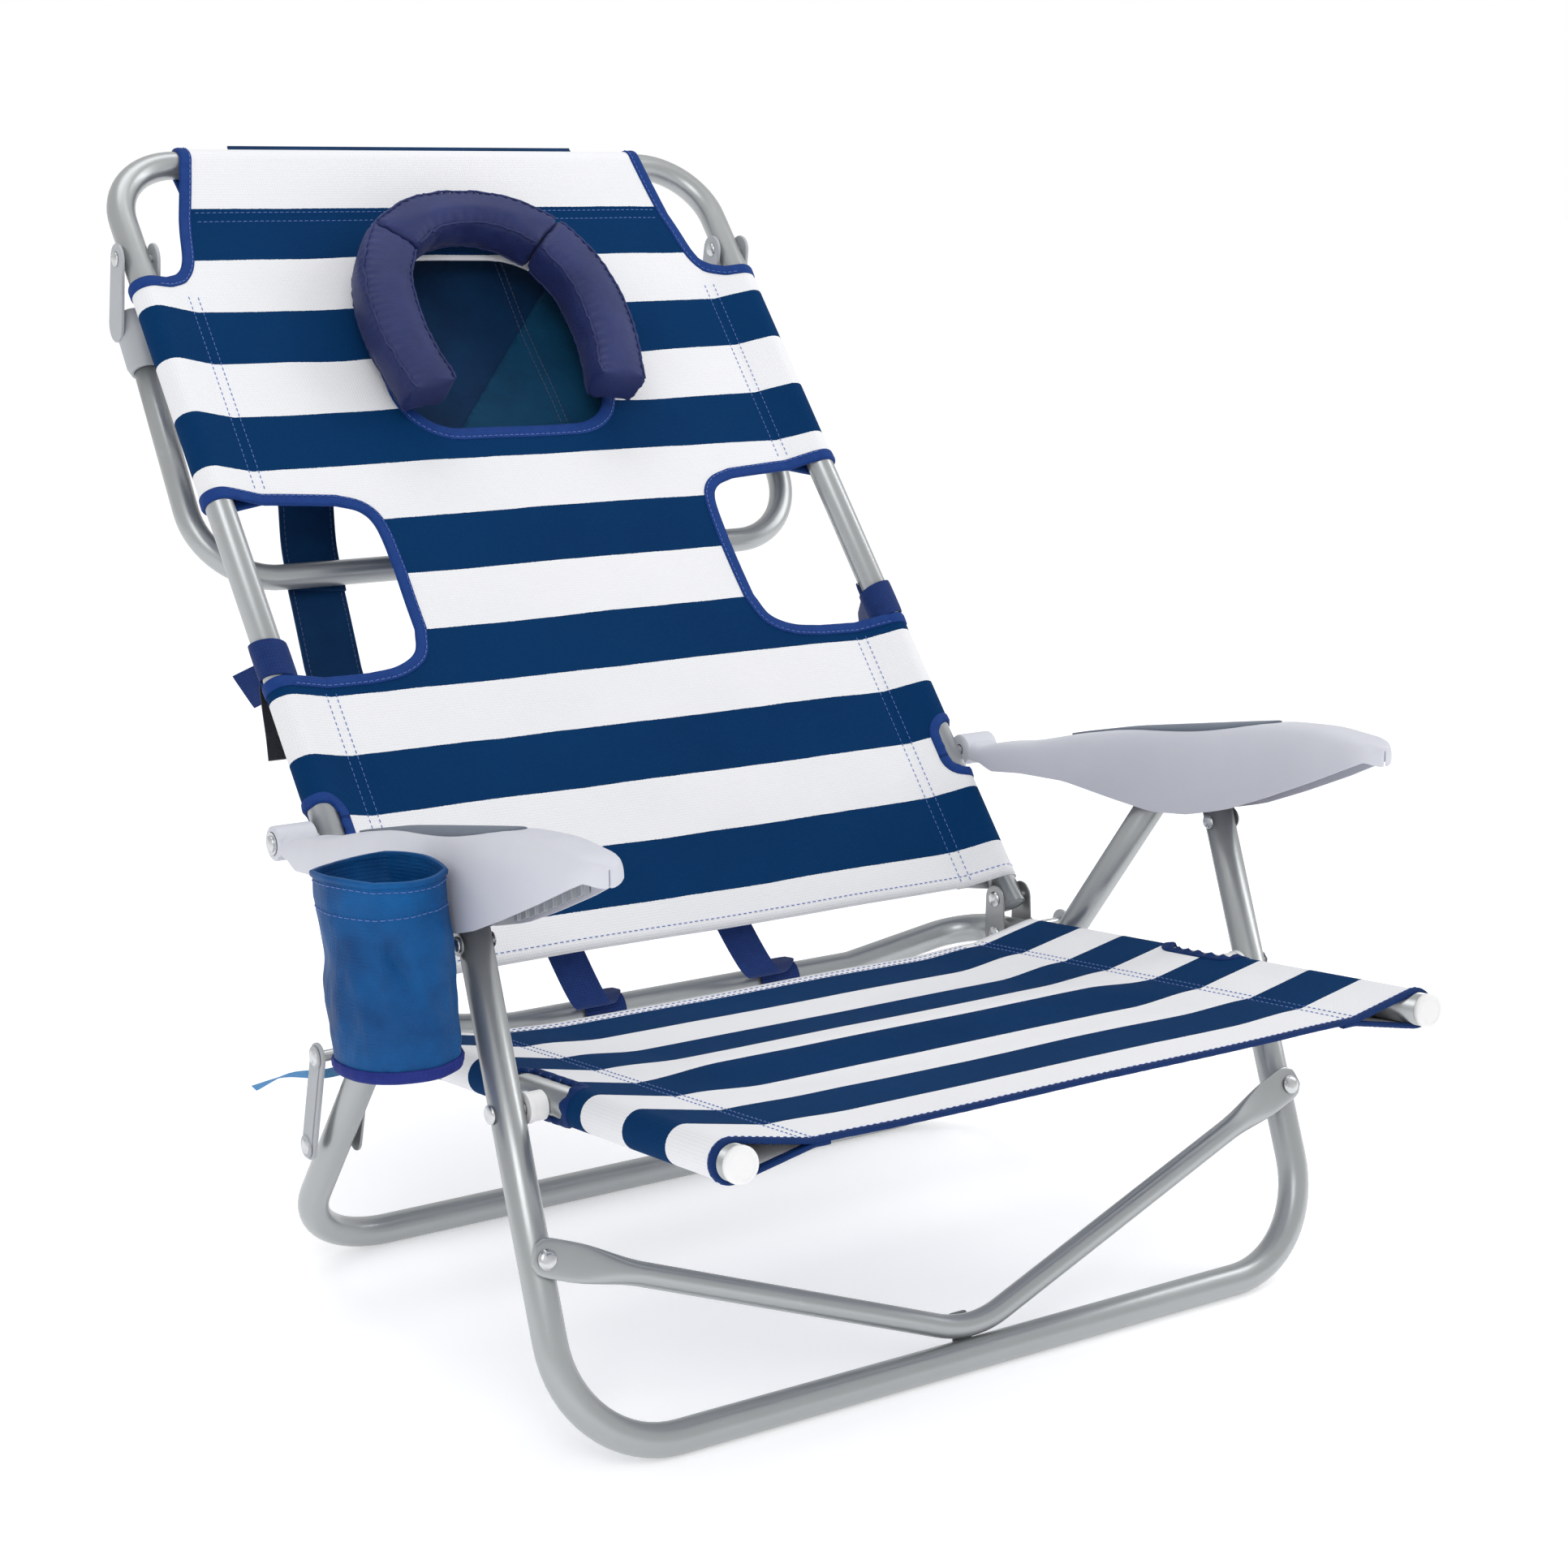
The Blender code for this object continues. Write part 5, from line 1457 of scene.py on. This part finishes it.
def boxed_ring(centre, across, wide, deep, power=0.36, count=28):
    """Rounded-square section of a pillow segment at (x, s)."""
    ring = []
    for j in range(count):
        a = 2 * math.pi * j / count
        c, s = math.cos(a), math.sin(a)
        out = math.copysign(abs(c) ** power, c) * wide
        lift = math.copysign(abs(s) ** power, s) * deep
        ring.append(BACK.point(centre[1] + across[1] * out, PILLOW_N + lift, centre[0] + across[0] * out))
    return ring


def pillow_segment(name, line, half_widths, half_depth):
    """One stuffed box of the pillow: lofted, remeshed, and puffed up as pressed cloth."""
    inset = 0.0030
    rings, corners = [], [[], [], [], []]
    count = len(line)
    for k, point in enumerate(line):
        ahead = np.subtract(line[min(k + 1, count - 1)], line[max(k - 1, 0)])
        across = np.array((-ahead[1], ahead[0])) / np.linalg.norm(ahead)
        mitre = np.array((point[0], point[1] - MITRE_FOCUS)) / math.hypot(point[0], point[1] - MITRE_FOCUS)
        closeness = max(0.0, 1 - math.dist((abs(point[0]), point[1]), MITRE) / 0.026)
        across = across * (1 - closeness) + mitre * math.copysign(closeness, float(across @ mitre))
        across /= np.linalg.norm(across)
        wide = np.interp(k / (count - 1), (0, 0.5, 1), half_widths)
        rings.append(boxed_ring(point, across, wide - inset, half_depth - inset))
        for corner, (sign_w, sign_n) in enumerate(((1, 1), (-1, 1), (-1, -1), (1, -1))):
            spot = np.array(point) + across * sign_w * wide
            corners[corner].append(BACK.point(spot[1], PILLOW_N + sign_n * half_depth, spot[0]))
    points = [point for ring in rings for point in ring]
    size = len(rings[0])
    faces = grid_faces(len(rings), size)
    faces.append(tuple(range(size)))
    faces.append(tuple((len(rings) - 1) * size + j for j in range(size)))
    obj = outward(add_mesh(name, points, faces, "pillow", 60.0))
    puff(obj, 0.0045)
    gather(obj, corners)
    return obj, corners


def apply_all(obj):
    bpy.ops.object.select_all(action="DESELECT")
    obj.select_set(True)
    bpy.context.view_layer.objects.active = obj
    for modifier in list(obj.modifiers):
        bpy.ops.object.modifier_apply(modifier=modifier.name)


def puff(obj, most):
    """Cloth under inner pressure; no point moves further than most."""
    remesh = obj.modifiers.new("even", "REMESH")
    remesh.mode = "VOXEL"
    remesh.voxel_size = 0.0042
    apply_all(obj)
    count = len(obj.data.vertices)
    before = np.zeros(count * 3, np.float32)
    obj.data.vertices.foreach_get("co", before)
    before = before.reshape(-1, 3)
    cloth = obj.modifiers.new("cloth", "CLOTH")
    settings = cloth.settings
    settings.quality = 5
    settings.mass = 0.12
    settings.tension_stiffness = 18
    settings.compression_stiffness = 18
    settings.shear_stiffness = 6
    settings.bending_stiffness = 0.6
    settings.use_pressure = True
    settings.uniform_pressure_force = 4.0
    settings.effector_weights.gravity = 0.0
    scene = bpy.context.scene
    for number in range(1, 21):
        scene.frame_set(number)
    graph = bpy.context.evaluated_depsgraph_get()
    after = np.zeros(count * 3, np.float32)
    obj.evaluated_get(graph).to_mesh().vertices.foreach_get("co", after)
    moved = after.reshape(-1, 3) - before
    obj.modifiers.remove(cloth)
    scene.frame_set(1)
    reach = np.linalg.norm(moved, axis=1, keepdims=True)
    moved *= np.minimum(1.0, most / np.maximum(reach, 1e-9))
    obj.data.vertices.foreach_set("co", (before + moved).ravel())
    obj.data.update()
    subdivided(obj, 1)
    apply_all(obj)
    obj.data.shade_smooth()


def gather(obj, corners):
    """Small puckers along the sewn edges of a stuffed box."""
    lines = [np.array([tuple(point) for point in resampled(corner, 0.002)]) for corner in corners]
    count = len(obj.data.vertices)
    places = np.zeros(count * 3, np.float32)
    obj.data.vertices.foreach_get("co", places)
    places = places.reshape(-1, 3)
    normals = np.array([tuple(vertex.normal) for vertex in obj.data.vertices])
    shift = np.zeros(count)
    for number, line in enumerate(lines):
        depth = 0.0013 if number in (0, 1) else 0.0006
        for start in range(0, count, 2000):
            block = places[start : start + 2000]
            away = np.linalg.norm(block[:, None, :] - line[None, :, :], axis=2)
            nearest, distance = away.argmin(axis=1), away.min(axis=1)
            wave = np.sin(nearest * 0.002 * 2 * math.pi / 0.0075 + 2.2 * np.sin(nearest * 0.13))
            shift[start : start + 2000] += depth * wave * np.exp(-((distance / 0.009) ** 2))
    obj.data.vertices.foreach_set("co", (places + normals * shift[:, None]).astype(np.float32).ravel())
    obj.data.update()


def seam_cords(name, obj, corners, radius=0.0011):
    """Raised seams along the box edges, laid on the puffed cloth."""
    tree = BVHTree.FromObject(obj, bpy.context.evaluated_depsgraph_get())
    points, faces = [], []
    for corner in corners:
        path = []
        for spot in resampled(corner, 0.004):
            place, normal, _, _ = tree.find_nearest(Vector(spot))
            path.append(place + normal * radius * 0.25)
        start = len(points)
        for k, (point, (_, normal, binormal)) in enumerate(zip(path, frames_along(path))):
            swell = radius * (1 + 0.22 * math.sin(k * 2.4))
            for j in range(8):
                a = 2 * math.pi * j / 8
                points.append(point + (normal * math.cos(a) + binormal * math.sin(a)) * swell)
        faces += [tuple(start + j for j in face) for face in grid_faces(len(path), 8)]
        faces.append(tuple(start + j for j in range(8)))
        faces.append(tuple(start + (len(path) - 1) * 8 + j for j in range(8)))
    cords = outward(add_mesh(name, points, faces, "pillow", 60.0))
    settle(cords, "back", "indigo_cloth")


def make_pillow():
    half = PILLOW_HALF_X
    low = 0.486
    legs = []
    for side, _ in SIDES:
        controls = [(side * (half - 0.004), low), (side * (half + 0.005), 0.540),
            (side * (half + 0.001), 0.595), (side * MITRE[0], MITRE[1])]
        legs.append([tuple(p) for p in smooth_curve(controls, 5)])
    arch = [tuple(p) for p in smooth_curve([(-MITRE[0], MITRE[1]), (-0.038, 0.6545), (0, 0.6600),
        (0.038, 0.6545), MITRE], 5)]
    pieces = (
        ("left_pillow_leg", legs[0], (0.0245, 0.0265, 0.0250), 0.0205),
        ("right_pillow_leg", legs[1], (0.0245, 0.0265, 0.0250), 0.0205),
        ("pillow_arch", arch, (0.0245, 0.0215, 0.0245), 0.0205),
    )
    for name, line, widths, depth in pieces:
        obj, corners = pillow_segment(name, line, widths, depth)
        nodes = ("head_pillow",) if name == "pillow_arch" else ()
        seam_cords(f"{name}_seams", obj, corners)
        settle(obj, "back", "indigo_cloth", *nodes)


# ---- prop leg and straps ------------------------------------------------------------------------
PROP_PIVOT = PIVOT["prop_swing"]
STRAP_WIDTH, STRAP_THICKNESS = 0.046, 0.0030
STRAP_SEAM_X = 0.0195  # stitch rows stand this far from the strap's middle
STRAP_SEAM_LIFT = 0.0016


def make_prop():
    corners = [BACK.point(*PROP_TOP, -BACK_X), BACK.point(*PROP_BAR, -BACK_X)]
    corners += [BACK.point(*PROP_BAR, BACK_X), BACK.point(*PROP_TOP, BACK_X)]
    path = filleted(corners, (0.062, 0.062), 16)
    settle(tube_piece("prop_tube", path, PROP_R), "prop", "tube_steel", "prop_frame")
    direction = BACK.point(*PROP_BAR) - BACK.point(*PROP_TOP)
    lower = BACK.point(0.616, -0.0395)
    for side, word in SIDES:
        start = BACK.point(0.6245, -0.0402, side * BACK_X)
        inner, outer = PROP_R + 0.0002, 0.0150
        loop = [(0, inner), (0, outer - 0.002), (0.002, outer), (0.044, outer - 0.0008),
            (0.050, outer - 0.0030), (0.050, inner)]
        parts = [ring_piece("ear_sleeve", start, direction, loop, "grey_plastic")]
        outline = capsule((lower.y, lower.z), (PROP_PIVOT.y, PROP_PIVOT.z), 0.0135, 0.0120)
        for near, far in ((0.0130, 0.0160), (-0.0160, -0.0130)):
            x_range = (side * BACK_X + near, side * BACK_X + far)
            parts.append(side_plate("ear_plate", outline, x_range, "grey_plastic", 0.0009))
        ears = joined(f"{word}_prop_hinge", parts)
        settle(ears, "prop", "grey_plastic", f"{word}_prop_bracket")
        pin = crosswise_pin(f"{word}_prop_hinge_rivet", PROP_PIVOT, side, BACK_X - 0.0163,
            BACK_X + 0.0163, 0.0035, 0.0058, 0.0022)
        settle(pin, "prop", "fastener", f"{word}_prop_rivet")
        make_shoulder_strap(side, word)


def strap_centre(side, s):
    """Middle of a shoulder strap across the chair at a distance up the back."""
    return side * float(np.interp(s, (0.10, 0.31, 0.466, 0.60), (0.186, 0.186, 0.166, 0.160)))


def make_shoulder_strap(side, word):
    """A flat strap: the upper part runs from the cloth to the prop bar, the lower one to a free end."""
    bar_s, bar_n = PROP_BAR
    behind = bar_n - PROP_R - 0.0030
    upper = smooth_curve([(0.600, -0.0290), (0.540, -0.0455), (0.470, -0.0640), (0.425, behind),
        (bar_s - 0.006, behind)], 8)
    lower = smooth_curve([(bar_s + 0.004, behind - 0.0036), (0.350, behind - 0.0024),
        (0.230, behind - 0.0010), (0.116, behind + 0.0020)], 12)
    for part, controls in (("upper", upper), ("lower", lower)):
        path = [BACK.point(s, n, strap_centre(side, s)) for s, n in controls]
        across = []
        for tangent, _, _ in frames_along(path):
            across.append((Vector((1, 0, 0)) - tangent * tangent.x).normalized())
        normals = [a.cross(t).normalized() for a, (t, _, _) in zip(across, frames_along(path))]
        strap = webbing_strip(
            f"{word}_shoulder_strap_{part}", path, normals, STRAP_WIDTH, STRAP_THICKNESS, "strap", across
        )
        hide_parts(f"{word}_strap_{part}")
        sewing = Stitching()
        for offset in (-STRAP_SEAM_X, STRAP_SEAM_X):
            for lift in (STRAP_SEAM_LIFT, -STRAP_SEAM_LIFT):
                line = [p + a * offset + n * lift for p, a, n in zip(path, across, normals)]
                sewing.row(line, [n * (1 if lift > 0 else -1) for n in normals])
        rows = outward(add_mesh(f"{word}_shoulder_strap_{part}_stitches", sewing.points, sewing.faces,
            "navy_thread", 80.0))
        for obj in (strap, rows):
            if part == "upper":
                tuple(path[0])
                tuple(path[-1])
                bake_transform(obj)
            else:
                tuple(path[0])
                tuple(path[-1])
                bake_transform(obj)


# ---- arms ---------------------------------------------------------------------------------------
def arm_stations():
    """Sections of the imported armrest: y, top z, bottom z, half width and middle x."""
    points = node_points("right_armrest")
    own = points[:, 1] < ARM_BOLT.y - 0.004
    stations = []
    for y in sorted({round(float(v), 4) for v in points[own][:, 1]}):
        ring = points[np.abs(points[:, 1] - y) < 0.0006]
        if len(ring) < 12:
            continue
        low, high = ring.min(axis=0), ring.max(axis=0)
        station = (y, high[2], low[2], (high[0] - low[0]) / 2, (high[0] + low[0]) / 2)
        if not stations or y - stations[-1][0] > 0.002:
            stations.append(station)
    return np.array(stations)


ARM_STATIONS = arm_stations()
ARM_START, ARM_END = float(ARM_STATIONS[0, 0]), float(ARM_STATIONS[-1, 0])
ARM_WALL = 0.0020


def arm_at(y):
    """Smooth (top z, bottom z, half width, middle x) of the armrest at y, with a blunt round nose."""
    values = []
    body = ARM_STATIONS[ARM_STATIONS[:, 0] > ARM_START + 0.012]
    for column in (1, 3, 4):
        shifts = (-0.010, -0.005, 0.0, 0.005, 0.010)
        values.append(float(np.mean([np.interp(y + shift, body[:, 0],
            body[:, column]) for shift in shifts])))
    top, half, middle = values
    bottom = float(np.interp(y, ARM_STATIONS[:, 0], ARM_STATIONS[:, 2]))
    nose = min(0.999, max(0.0, (ARM_START + 0.024 - y) / 0.0242))
    half *= (1 - nose**2.5) ** 0.5
    top -= 0.0050 * nose**3
    bottom = min(bottom, top - 0.0130)
    return top, bottom, half, middle


def arm_section(side, y, inset, steps=28):
    """An upside-down U across the arm with a soft crown and a rolled lip."""
    top, bottom, half, middle = arm_at(y)
    skin = []
    for k in range(steps + 1):
        a = math.pi * k / steps
        across = math.copysign(abs(math.cos(a)) ** 0.45, math.cos(a)) * max(half - inset, 0.1 * half)
        rise = abs(math.sin(a)) ** 0.8 * (top - inset - bottom)
        skin.append(Vector((side * (middle + across), y, bottom + rise)))
    return skin


def make_arm(side, word):
    """A moulded arm, open underneath, with a boss for its bolt at the rear."""
    body = f"{word}_arm"
    ys = [ARM_START + (ARM_END - ARM_START) * (0.5 - 0.5 * math.cos(math.pi * k / 60)) for k in range(61)]
    rings = []
    for y in ys:
        outer, inner = arm_section(side, y, 0.0), arm_section(side, y, ARM_WALL)
        rings.append(outer + inner[::-1])
    count = len(rings[0])
    points = [point for ring in rings for point in ring]
    faces = grid_faces(len(rings), count)
    faces.append(tuple(range(count)))
    faces.append(tuple((len(rings) - 1) * count + j for j in range(count)))
    shell = outward(add_mesh("arm_shell", points, faces, "arm", 50.0))
    bevelled(shell, 0.0006, 2, 50.0)
    start = aside(ARM_BOLT, side * 0.2850)
    profile = [(0, 0.0046), (0, 0.0112), (0.0009, 0.0123), (0.0020, 0.0125), (0.0282, 0.0125),
        (0.0293, 0.0123)]
    profile += [(0.0302, 0.0112), (0.0302, 0.0085), (0.0290, 0.0082), (0.0290, 0.0046)]
    boss = ring_piece("arm_boss", start, (side, 0, 0), profile, "arm", 40)
    arm = joined(f"{word}_arm_shell", [shell, boss])
    settle(arm, body, "arm_plastic", f"{word}_armrest")
    bolt = crosswise_pin(f"{word}_arm_bolt_round", ARM_BOLT, side, BACK_X - TUBE_R - 0.0008, 0.3156,
        0.004, 0.0060, 0.0028, 0.0082)
    settle(bolt, "back", "fastener", f"{word}_arm_bolt")
    make_inlay(side, word, body)
    make_rack(side, word, body)


def make_inlay(side, word, body):
    """A long teardrop pad let into the crown, wide at the front, with a raised rim."""
    low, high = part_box(f"{word}_arm_inlay")
    start, end = low.y, high.y
    rows, columns = 48, 13
    points = []
    for k in range(rows + 1):
        u = k / rows
        y = start + (end - start) * u
        half = max(0.0008, 0.0130 * math.sin(math.pi * min(1.0, 0.03 + u**0.62 * 0.97)) ** 0.8)
        for j in range(columns):
            w = -1 + 2 * j / (columns - 1)
            x = half * w
            top, bottom, arm_half, middle = arm_at(y)
            share = min(1.0, abs(x) / arm_half) ** (1 / 0.45)
            crown = bottom + math.sin(math.acos(share)) ** 0.8 * (top - bottom)
            lift = 0.0010 * (1 - abs(w) ** 5) + 0.0003
            points.append(Vector((side * (middle + x), y, crown + lift)))
    pad = add_mesh(f"{word}_arm_pad", points, grid_faces(rows + 1, columns, False), "slate", 60.0)
    if pad.data.polygons[200].normal.z < 0:
        pad.data.flip_normals()
    solidified(pad, 0.0016, -1.0)
    settle(pad, body, "slate_plastic", f"{word}_arm_inlay")


def make_rack(side, word, body):
    """The comb of notches inside the arm that the leg pin drops into."""
    low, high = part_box(f"{word}_ratchet_rack")
    near, far = sorted((abs(low.x), abs(high.x)))
    pitch, first, count, base = 0.0115, low.y + 0.004, 8, near + 0.0014
    outline = [(low.y, near)]
    for k in range(count):
        y = first + pitch * k
        outline += [(y, base), (y, far), (y + 0.0045, far), (y + 0.0045, base)]
    outline.append((high.y, near))

    def place(a, b, c):
        top, bottom, _, _ = arm_at(a)
        foot = bottom + 0.002
        return Vector((side * b, a, foot + c * (top - foot)))

    rack = flat_plate(f"{word}_notch_comb", outline, place, (0.0, 0.40), "rack", 0.0007)
    settle(rack, body, "grey_plastic", f"{word}_ratchet_rack")


CUP_CREASE = math.radians(240)  # the upright crease between the two outer panels


def make_cup_pocket():
    """A cloth pocket hung on the left arm: flat against the arm, creased, with a deep hem."""
    low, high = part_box("cup_holder")
    wall_x = high.x - 0.0004
    centre_y = (low.y + high.y) / 2
    radius = 0.0403
    rim_centre = Vector((low.x + radius + 0.0003, 0.122, high.z))
    base_centre = Vector((rim_centre.x + 0.0015, 2 * centre_y - 0.122 - 0.006, low.z))
    rows, columns = 44, 72

    def skin(inset):
        points = []
        for k in range(rows + 1):
            level = k / rows
            centre = base_centre.lerp(rim_centre, level)
            belly = 1.0 - 0.055 * (1 - level) ** 6 - 0.012 * math.exp(-(((level - 0.83) / 0.015) ** 2))
            for j in range(columns):
                a = 2 * math.pi * j / columns
                crease = noise.noise(Vector((math.cos(a) * 2.2, math.sin(a) * 2.2, level * 3.0 + 1.7)))
                fine = noise.noise(Vector((math.cos(a) * 5.5, math.sin(a) * 5.5, level * 7.0)))
                loose = min(1.0, 4 * level * (1 - level) + 0.25)
                turn = (a - CUP_CREASE) % (math.pi / 2) - math.pi / 4
                panel = 1 - (0.10 + 0.22 * level) * min(1.0,
                    5 * level) * (1 - math.cos(math.pi / 4) / math.cos(turn))
                pinch = a - CUP_CREASE - 0.20 + (level - 0.62) * 1.6
                dent = 0.0048 * math.exp(-((pinch / 0.17) ** 2) - ((level - 0.60) / 0.14) ** 2)
                size = radius * belly * panel - inset + (crease * 0.0030 + fine * 0.0013) * loose - dent
                x = centre.x + size * math.cos(a)
                y = centre.y + size * math.sin(a)
                wave = 0.0016 * math.sin(2 * a + 0.6) if level > 0.9 else 0.0
                points.append(Vector((min(x, wall_x - inset), y, centre.z + wave)))
        return points

    outer, inner = skin(0.0), skin(0.0014)
    floor_lift = 0.0014
    count = len(outer)
    for j in range(columns):
        inner[j].z += floor_lift
    faces = grid_faces(rows + 1, columns)
    faces += [tuple(count + j for j in face[::-1]) for face in grid_faces(rows + 1, columns)]
    top = rows * columns
    for j in range(columns):
        j2 = (j + 1) % columns
        faces.append((top + j, top + j2, count + top + j2, count + top + j))
    faces.append(tuple(range(columns))[::-1])
    faces.append(tuple(count + j for j in range(columns)))
    pocket = outward(add_mesh("cup_pocket", outer + inner, faces, "cup", 60.0))
    settle(pocket, "left_arm", "cup_cloth", "cup_holder")
    sewing = Stitching()
    for row in (int(rows * 0.83), rows - 2):
        ring = outer[row * columns : (row + 1) * columns]
        ring = ring + ring[:1]
        middle = sum(ring, Vector()) / len(ring)
        normals = [(p - middle).normalized() for p in ring]
        sewing.row([p + n * 0.0004 for p, n in zip(ring, normals)], normals)
    sewing.piece("cup_pocket_stitches", "left_arm", "cup_cloth")
    for name, row, height in (("cup_pocket_rim", rows, 0.0035), ("cup_pocket_base_binding", 1, 0.0062)):
        ring = outer[row * columns : (row + 1) * columns]
        middle = sum(ring, Vector()) / len(ring)
        points, cloth = [], []
        section = [(0.0004, -height), (0.0014, -height * 0.7), (0.0017, 0.0), (0.0010, height * 0.25),
            (-0.0012, height * 0.25), (-0.0018, -height * 0.7), (-0.0014, -height)]
        for k, place in enumerate(ring):
            out = Vector((place.x - middle.x, place.y - middle.y, 0)).normalized()
            pucker = 1 + 0.25 * math.sin(k * 1.9) * (row == 1)
            for depth, lift in section:
                points.append(place + out * depth * pucker + Vector((0, 0, lift)))
                cloth.append((lift, k * 0.0035, 0.0))
        trim = outward(add_mesh(name, points, grid_faces(columns, len(section), True, True),
            "violet_binding" if row == 1 else "cup", 60.0, cloth))
        settle(trim, "left_arm", "cup_cloth")


# ---- stage --------------------------------------------------------------------------------------
def area_light(name, place, target, size, power, colour=(1, 1, 1)):
    light = bpy.data.lights.new(name, "AREA")
    light.shape = "RECTANGLE"
    light.size, light.size_y = size
    light.energy = power
    light.color = colour
    obj = bpy.data.objects.new(name, light)
    obj.location = place
    obj.rotation_euler = (Vector(target) - Vector(place)).to_track_quat("-Z", "Y").to_euler()
    bpy.context.scene.collection.objects.link(obj)
    return obj


def make_stage():
    floor = add_mesh("studio_floor", [(-40, -40, 0), (40, -40, 0), (40, 60, 0), (-40, 60, 0)],
        [(0, 1, 2, 3)], "floor")
    floor.location.z = -0.0006
    world = bpy.data.worlds.new("studio")
    world.use_nodes = True
    tree = world.node_tree
    seen = add(tree, "ShaderNodeLightPath").outputs["Is Camera Ray"]
    set_inputs(tree, tree.nodes["Background"],
        {"Color": srgb(255, 255, 255), "Strength": remap(tree, seen, 0, 1, 0.74, 1.0)})
    bpy.context.scene.world = world
    area_light("key", (-1.6, -1.8, 2.3), (0, 0.2, 0.35), (1.4, 1.4), 21)
    area_light("rim", (2.2, -0.4, 1.8), (0, 0.2, 0.4), (0.5, 2.0), 17)
    area_light("top", (0.1, 0.9, 2.6), (0, 0.3, 0.3), (1.8, 0.8), 10)


def make_camera():
    camera = bpy.data.cameras.new("camera")
    camera.lens = 64.2
    camera.sensor_width = 36.0
    obj = bpy.data.objects.new("camera", camera)
    obj.location = (-1.0642, -1.3834, 0.775)
    azimuth, elevation = math.radians(-33.385), math.radians(12.209)
    look = Vector((-math.sin(azimuth) * math.cos(elevation), math.cos(azimuth) * math.cos(elevation),
        -math.sin(elevation)))
    obj.rotation_euler = look.to_track_quat("-Z", "Y").to_euler()
    bpy.context.scene.collection.objects.link(obj)
    bpy.context.scene.camera = obj
    bpy.context.scene.view_settings.view_transform = "Standard"


def floor_material():
    material, tree, shader = new_material("studio_floor")
    mottled = grain(tree, object_place(tree), 3.0, 3.0)
    tint = blend_colours(tree, mottled, srgb(249, 249, 250), srgb(246, 246, 248))
    inputs = {"Base Color": tint, "Roughness": 0.9, "Emission Color": srgb(255, 255, 255),
        "Emission Strength": 0.34}
    set_inputs(tree, shader, inputs)
    return material


MATS["floor"] = floor_material()
make_seat_frame()
make_seat_cloth()
make_front_legs()
make_rear_legs()
make_links()
make_back_frame()
make_back_cloth()
make_back_trimmings()
make_loose_tie()
make_flap()
make_pillow()
make_prop()
for arm_side, arm_word in SIDES:
    make_arm(arm_side, arm_word)
make_cup_pocket()
make_stage()
make_camera()
